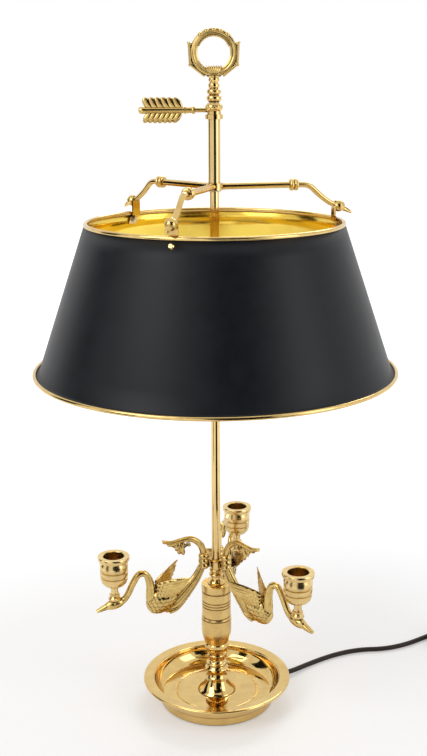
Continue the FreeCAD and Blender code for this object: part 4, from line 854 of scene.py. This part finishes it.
# %% Cord
CORD_MM = 5.6
CORD_ROUTE = (
    (73.47, 40.72, 4.9), (87.5, 48.5, 4.9), (109.0, 69.3, 2.9), (140.0, 91.0, 2.9),
    (172.0, 103.8, 2.9), (203.0, 105.3, 2.9), (231.0, 116.6, 2.9), (257.0, 134.98, 2.9),
)
COIL_AT = (310.0, 120.0)
COIL_MID_R = 33.2
LAYER_TURNS = 3.25
PITCH = 6.2
COIL_START = 126.0
LOW_Z = 2.9
PLUG_Z = 6.6
TAIL_TURNS = 0.35
TAIL_OUT = 8.7
POINTS_A_TURN = 24


def ease(share):
    return share * share * (3 - 2 * share)


def coil_point(turns):
    """The cord's centre after a number of turns, wound clockwise from above."""
    half_span = PITCH * LAYER_TURNS / 2
    climb = turns - LAYER_TURNS
    lead_out = turns - 2 * LAYER_TURNS - 0.5
    radius = COIL_MID_R + half_span - PITCH * turns
    z = LOW_Z
    if 0 < climb <= 0.5:
        radius = COIL_MID_R - half_span - PITCH * climb + 2 * PITCH * climb * climb
        z = LOW_Z + PITCH * ease(climb / 0.5)
    elif climb > 0.5 and lead_out <= 0:
        radius = COIL_MID_R - half_span + PITCH * (climb - 0.5)
        z = LOW_Z + PITCH
    elif lead_out > 0:
        out_share = ease(min(lead_out / TAIL_TURNS, 1))
        radius = COIL_MID_R + half_span + TAIL_OUT * out_share
        z = LOW_Z + PITCH + (PLUG_Z - LOW_Z - PITCH) * out_share
    angle = radians(COIL_START - 360 * turns)
    return (COIL_AT[0] + radius * cos(angle), COIL_AT[1] + radius * sin(angle), z)


coil_turns = 2 * LAYER_TURNS + 0.5 + TAIL_TURNS
coil_steps = round(coil_turns * POINTS_A_TURN)
cord_points = list(CORD_ROUTE) + [coil_point(coil_turns * k / coil_steps) for k in range(coil_steps + 1)]
coil_end = cord_points[-1]
cord_points.append((coil_end[0], coil_end[1] - CORD_MM, coil_end[2]))

cord_curve = bpy.data.curves.new("power_cord", "CURVE")
cord_curve.dimensions = "3D"
cord_curve.bevel_depth = CORD_MM * MM / 2
cord_curve.bevel_resolution = 5
cord_curve.resolution_u = 6
cord_curve.use_fill_caps = True
spline = cord_curve.splines.new("NURBS")
spline.points.add(len(cord_points) - 1)
for control, point in zip(spline.points, cord_points):
    control.co = (point[0] * MM, point[1] * MM, point[2] * MM, 1.0)
spline.order_u = 3
spline.use_endpoint_u = True
cord = bpy.data.objects.new("power_cord", cord_curve)
bpy.context.collection.objects.link(cord)
cord_curve.materials.append(cord_brown)
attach(cord, "lamp")
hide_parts("cord_run", "cord_coil")
print("cord points", len(cord_points))

# %% [markdown]
# ## Floor, background and light
# The lamp stands on a pale sheet. Camera, mirror and glass rays see it glow, more with distance, until
# it meets the white background, and it still takes the lamp's shadow; all other rays get an even, plain
# light. Three large soft lamps stand for the studio's window, its reflector and a strip behind.

# %% Floor
FLOOR_HALF = 6.0
floor_bm = bmesh.new()
bmesh.ops.create_grid(floor_bm, x_segments=1, y_segments=1, size=FLOOR_HALF)
floor_mesh = bpy.data.meshes.new("floor")
floor_bm.to_mesh(floor_mesh)
floor_bm.free()
floor = bpy.data.objects.new("floor", floor_mesh)
bpy.context.collection.objects.link(floor)


def seen_rays(tree):
    """1 for camera, mirror and glass rays, 0 for the light that spreads from surface to surface."""
    path = add(tree, "ShaderNodeLightPath")
    first = add(tree, "ShaderNodeMath", {
        0: path.outputs["Is Camera Ray"], 1: path.outputs["Is Glossy Ray"]}, operation="MAXIMUM")
    return add(tree, "ShaderNodeMath", {
        0: first.outputs[0], 1: path.outputs["Is Transmission Ray"]}, operation="MAXIMUM").outputs[0]


FLOOR_LIFT = 0.31
FAR_LIFT = 0.75
LIFT_FROM = 0.3
LIFT_TO = 1.3
floor_material, floor_tree, floor_shader = blank_material("pale_floor", Roughness=0.7)
floor_shader.inputs["Base Color"].default_value = colour(0.76, 0.76, 0.77)
floor_shader.inputs["Specular IOR Level"].default_value = 0.1
floor_shader.inputs["Emission Color"].default_value = colour(1, 1, 1)
floor_place = add(floor_tree, "ShaderNodeTexCoord").outputs["Object"]
away_from_lamp = add(floor_tree, "ShaderNodeVectorMath", {0: floor_place}, operation="LENGTH")
fade = add(floor_tree, "ShaderNodeMapRange", {
    "Value": away_from_lamp.outputs["Value"], "From Min": LIFT_FROM, "From Max": LIFT_TO,
    "To Min": FLOOR_LIFT, "To Max": FAR_LIFT})
lift = add(floor_tree, "ShaderNodeMath", {0: seen_rays(floor_tree), 1: fade.outputs["Result"]},
           operation="MULTIPLY")
floor_tree.links.new(lift.outputs[0], floor_shader.inputs["Emission Strength"])
floor_mesh.materials.append(floor_material)
print("floor", 2 * FLOOR_HALF, "m wide")

# %% World and lamps
SPREAD_LIGHT = 0.5
LAMPS_AIM = Vector((0, 0, 0.35))
world = bpy.data.worlds.new("studio")
world.use_nodes = True
sky = world.node_tree.nodes["Background"]
sky.inputs["Color"].default_value = colour(1, 1, 1)
strength = add(world.node_tree, "ShaderNodeMapRange", {
    "Value": seen_rays(world.node_tree), "To Min": SPREAD_LIGHT, "To Max": 1.0})
world.node_tree.links.new(strength.outputs["Result"], sky.inputs["Strength"])
bpy.context.scene.world = world


def soft_lamp(name, place, size, watts):
    lamp_data = bpy.data.lights.new(name, "AREA")
    lamp_data.shape = "RECTANGLE"
    lamp_data.size, lamp_data.size_y = size
    lamp_data.energy = watts
    lamp = bpy.data.objects.new(name, lamp_data)
    bpy.context.collection.objects.link(lamp)
    lamp.location = place
    lamp.rotation_euler = (LAMPS_AIM - Vector(place)).to_track_quat("-Z", "Y").to_euler()


soft_lamp("window", (-1.1, -1.0, 1.5), (1.0, 1.2), 11.0)
soft_lamp("reflector", (1.5, -0.8, 0.9), (0.7, 1.2), 5.0)
soft_lamp("back_strip", (0.3, 1.4, 1.5), (1.2, 0.4), 8.0)
bpy.context.scene.view_settings.view_transform = "Standard"
print("three lamps and a white background")

# %% [markdown]
# Polished brass has no look of its own: it shows the room. In an all-white room it would be flat, so
# five dark cards stand where a photographer puts them, and only mirror rays see them.

# %% Dark cards
def dark_card(name, place, size):
    card_bm = bmesh.new()
    aim = (Vector((0, 0, place[2])) - Vector(place)).to_track_quat("Z", "Y").to_matrix().to_4x4()
    bmesh.ops.create_grid(card_bm, x_segments=1, y_segments=1, size=0.5,
                          matrix=Matrix.Translation(place) @ aim @ Matrix.Diagonal((*size, 1, 1)))
    card_mesh = bpy.data.meshes.new(name)
    card_bm.to_mesh(card_mesh)
    card_bm.free()
    card_mesh.materials.append(grained("card_" + name, colour(0.01, 0.01, 0.01), colour(0.02, 0.018, 0.016),
                                       20.0, 0.9, 0.0001, Specular_IOR_Level=0.0))
    card = bpy.data.objects.new(name, card_mesh)
    bpy.context.collection.objects.link(card)
    card.visible_camera = False
    card.visible_diffuse = False
    card.visible_shadow = False
    card.visible_transmission = False


dark_card("front_card", (0.5, -2.0, 1.0), (1.5, 2.2))
dark_card("high_card", (0.0, -1.5, 2.2), (3.2, 1.3))
dark_card("low_right_card", (0.2, -0.5, 0.17), (0.44, 0.32))
dark_card("low_left_card", (-0.62, -0.5, 0.24), (0.24, 0.46))
dark_card("side_card", (-1.7, 0.25, 0.8), (0.7, 2.0))
print("five dark cards")
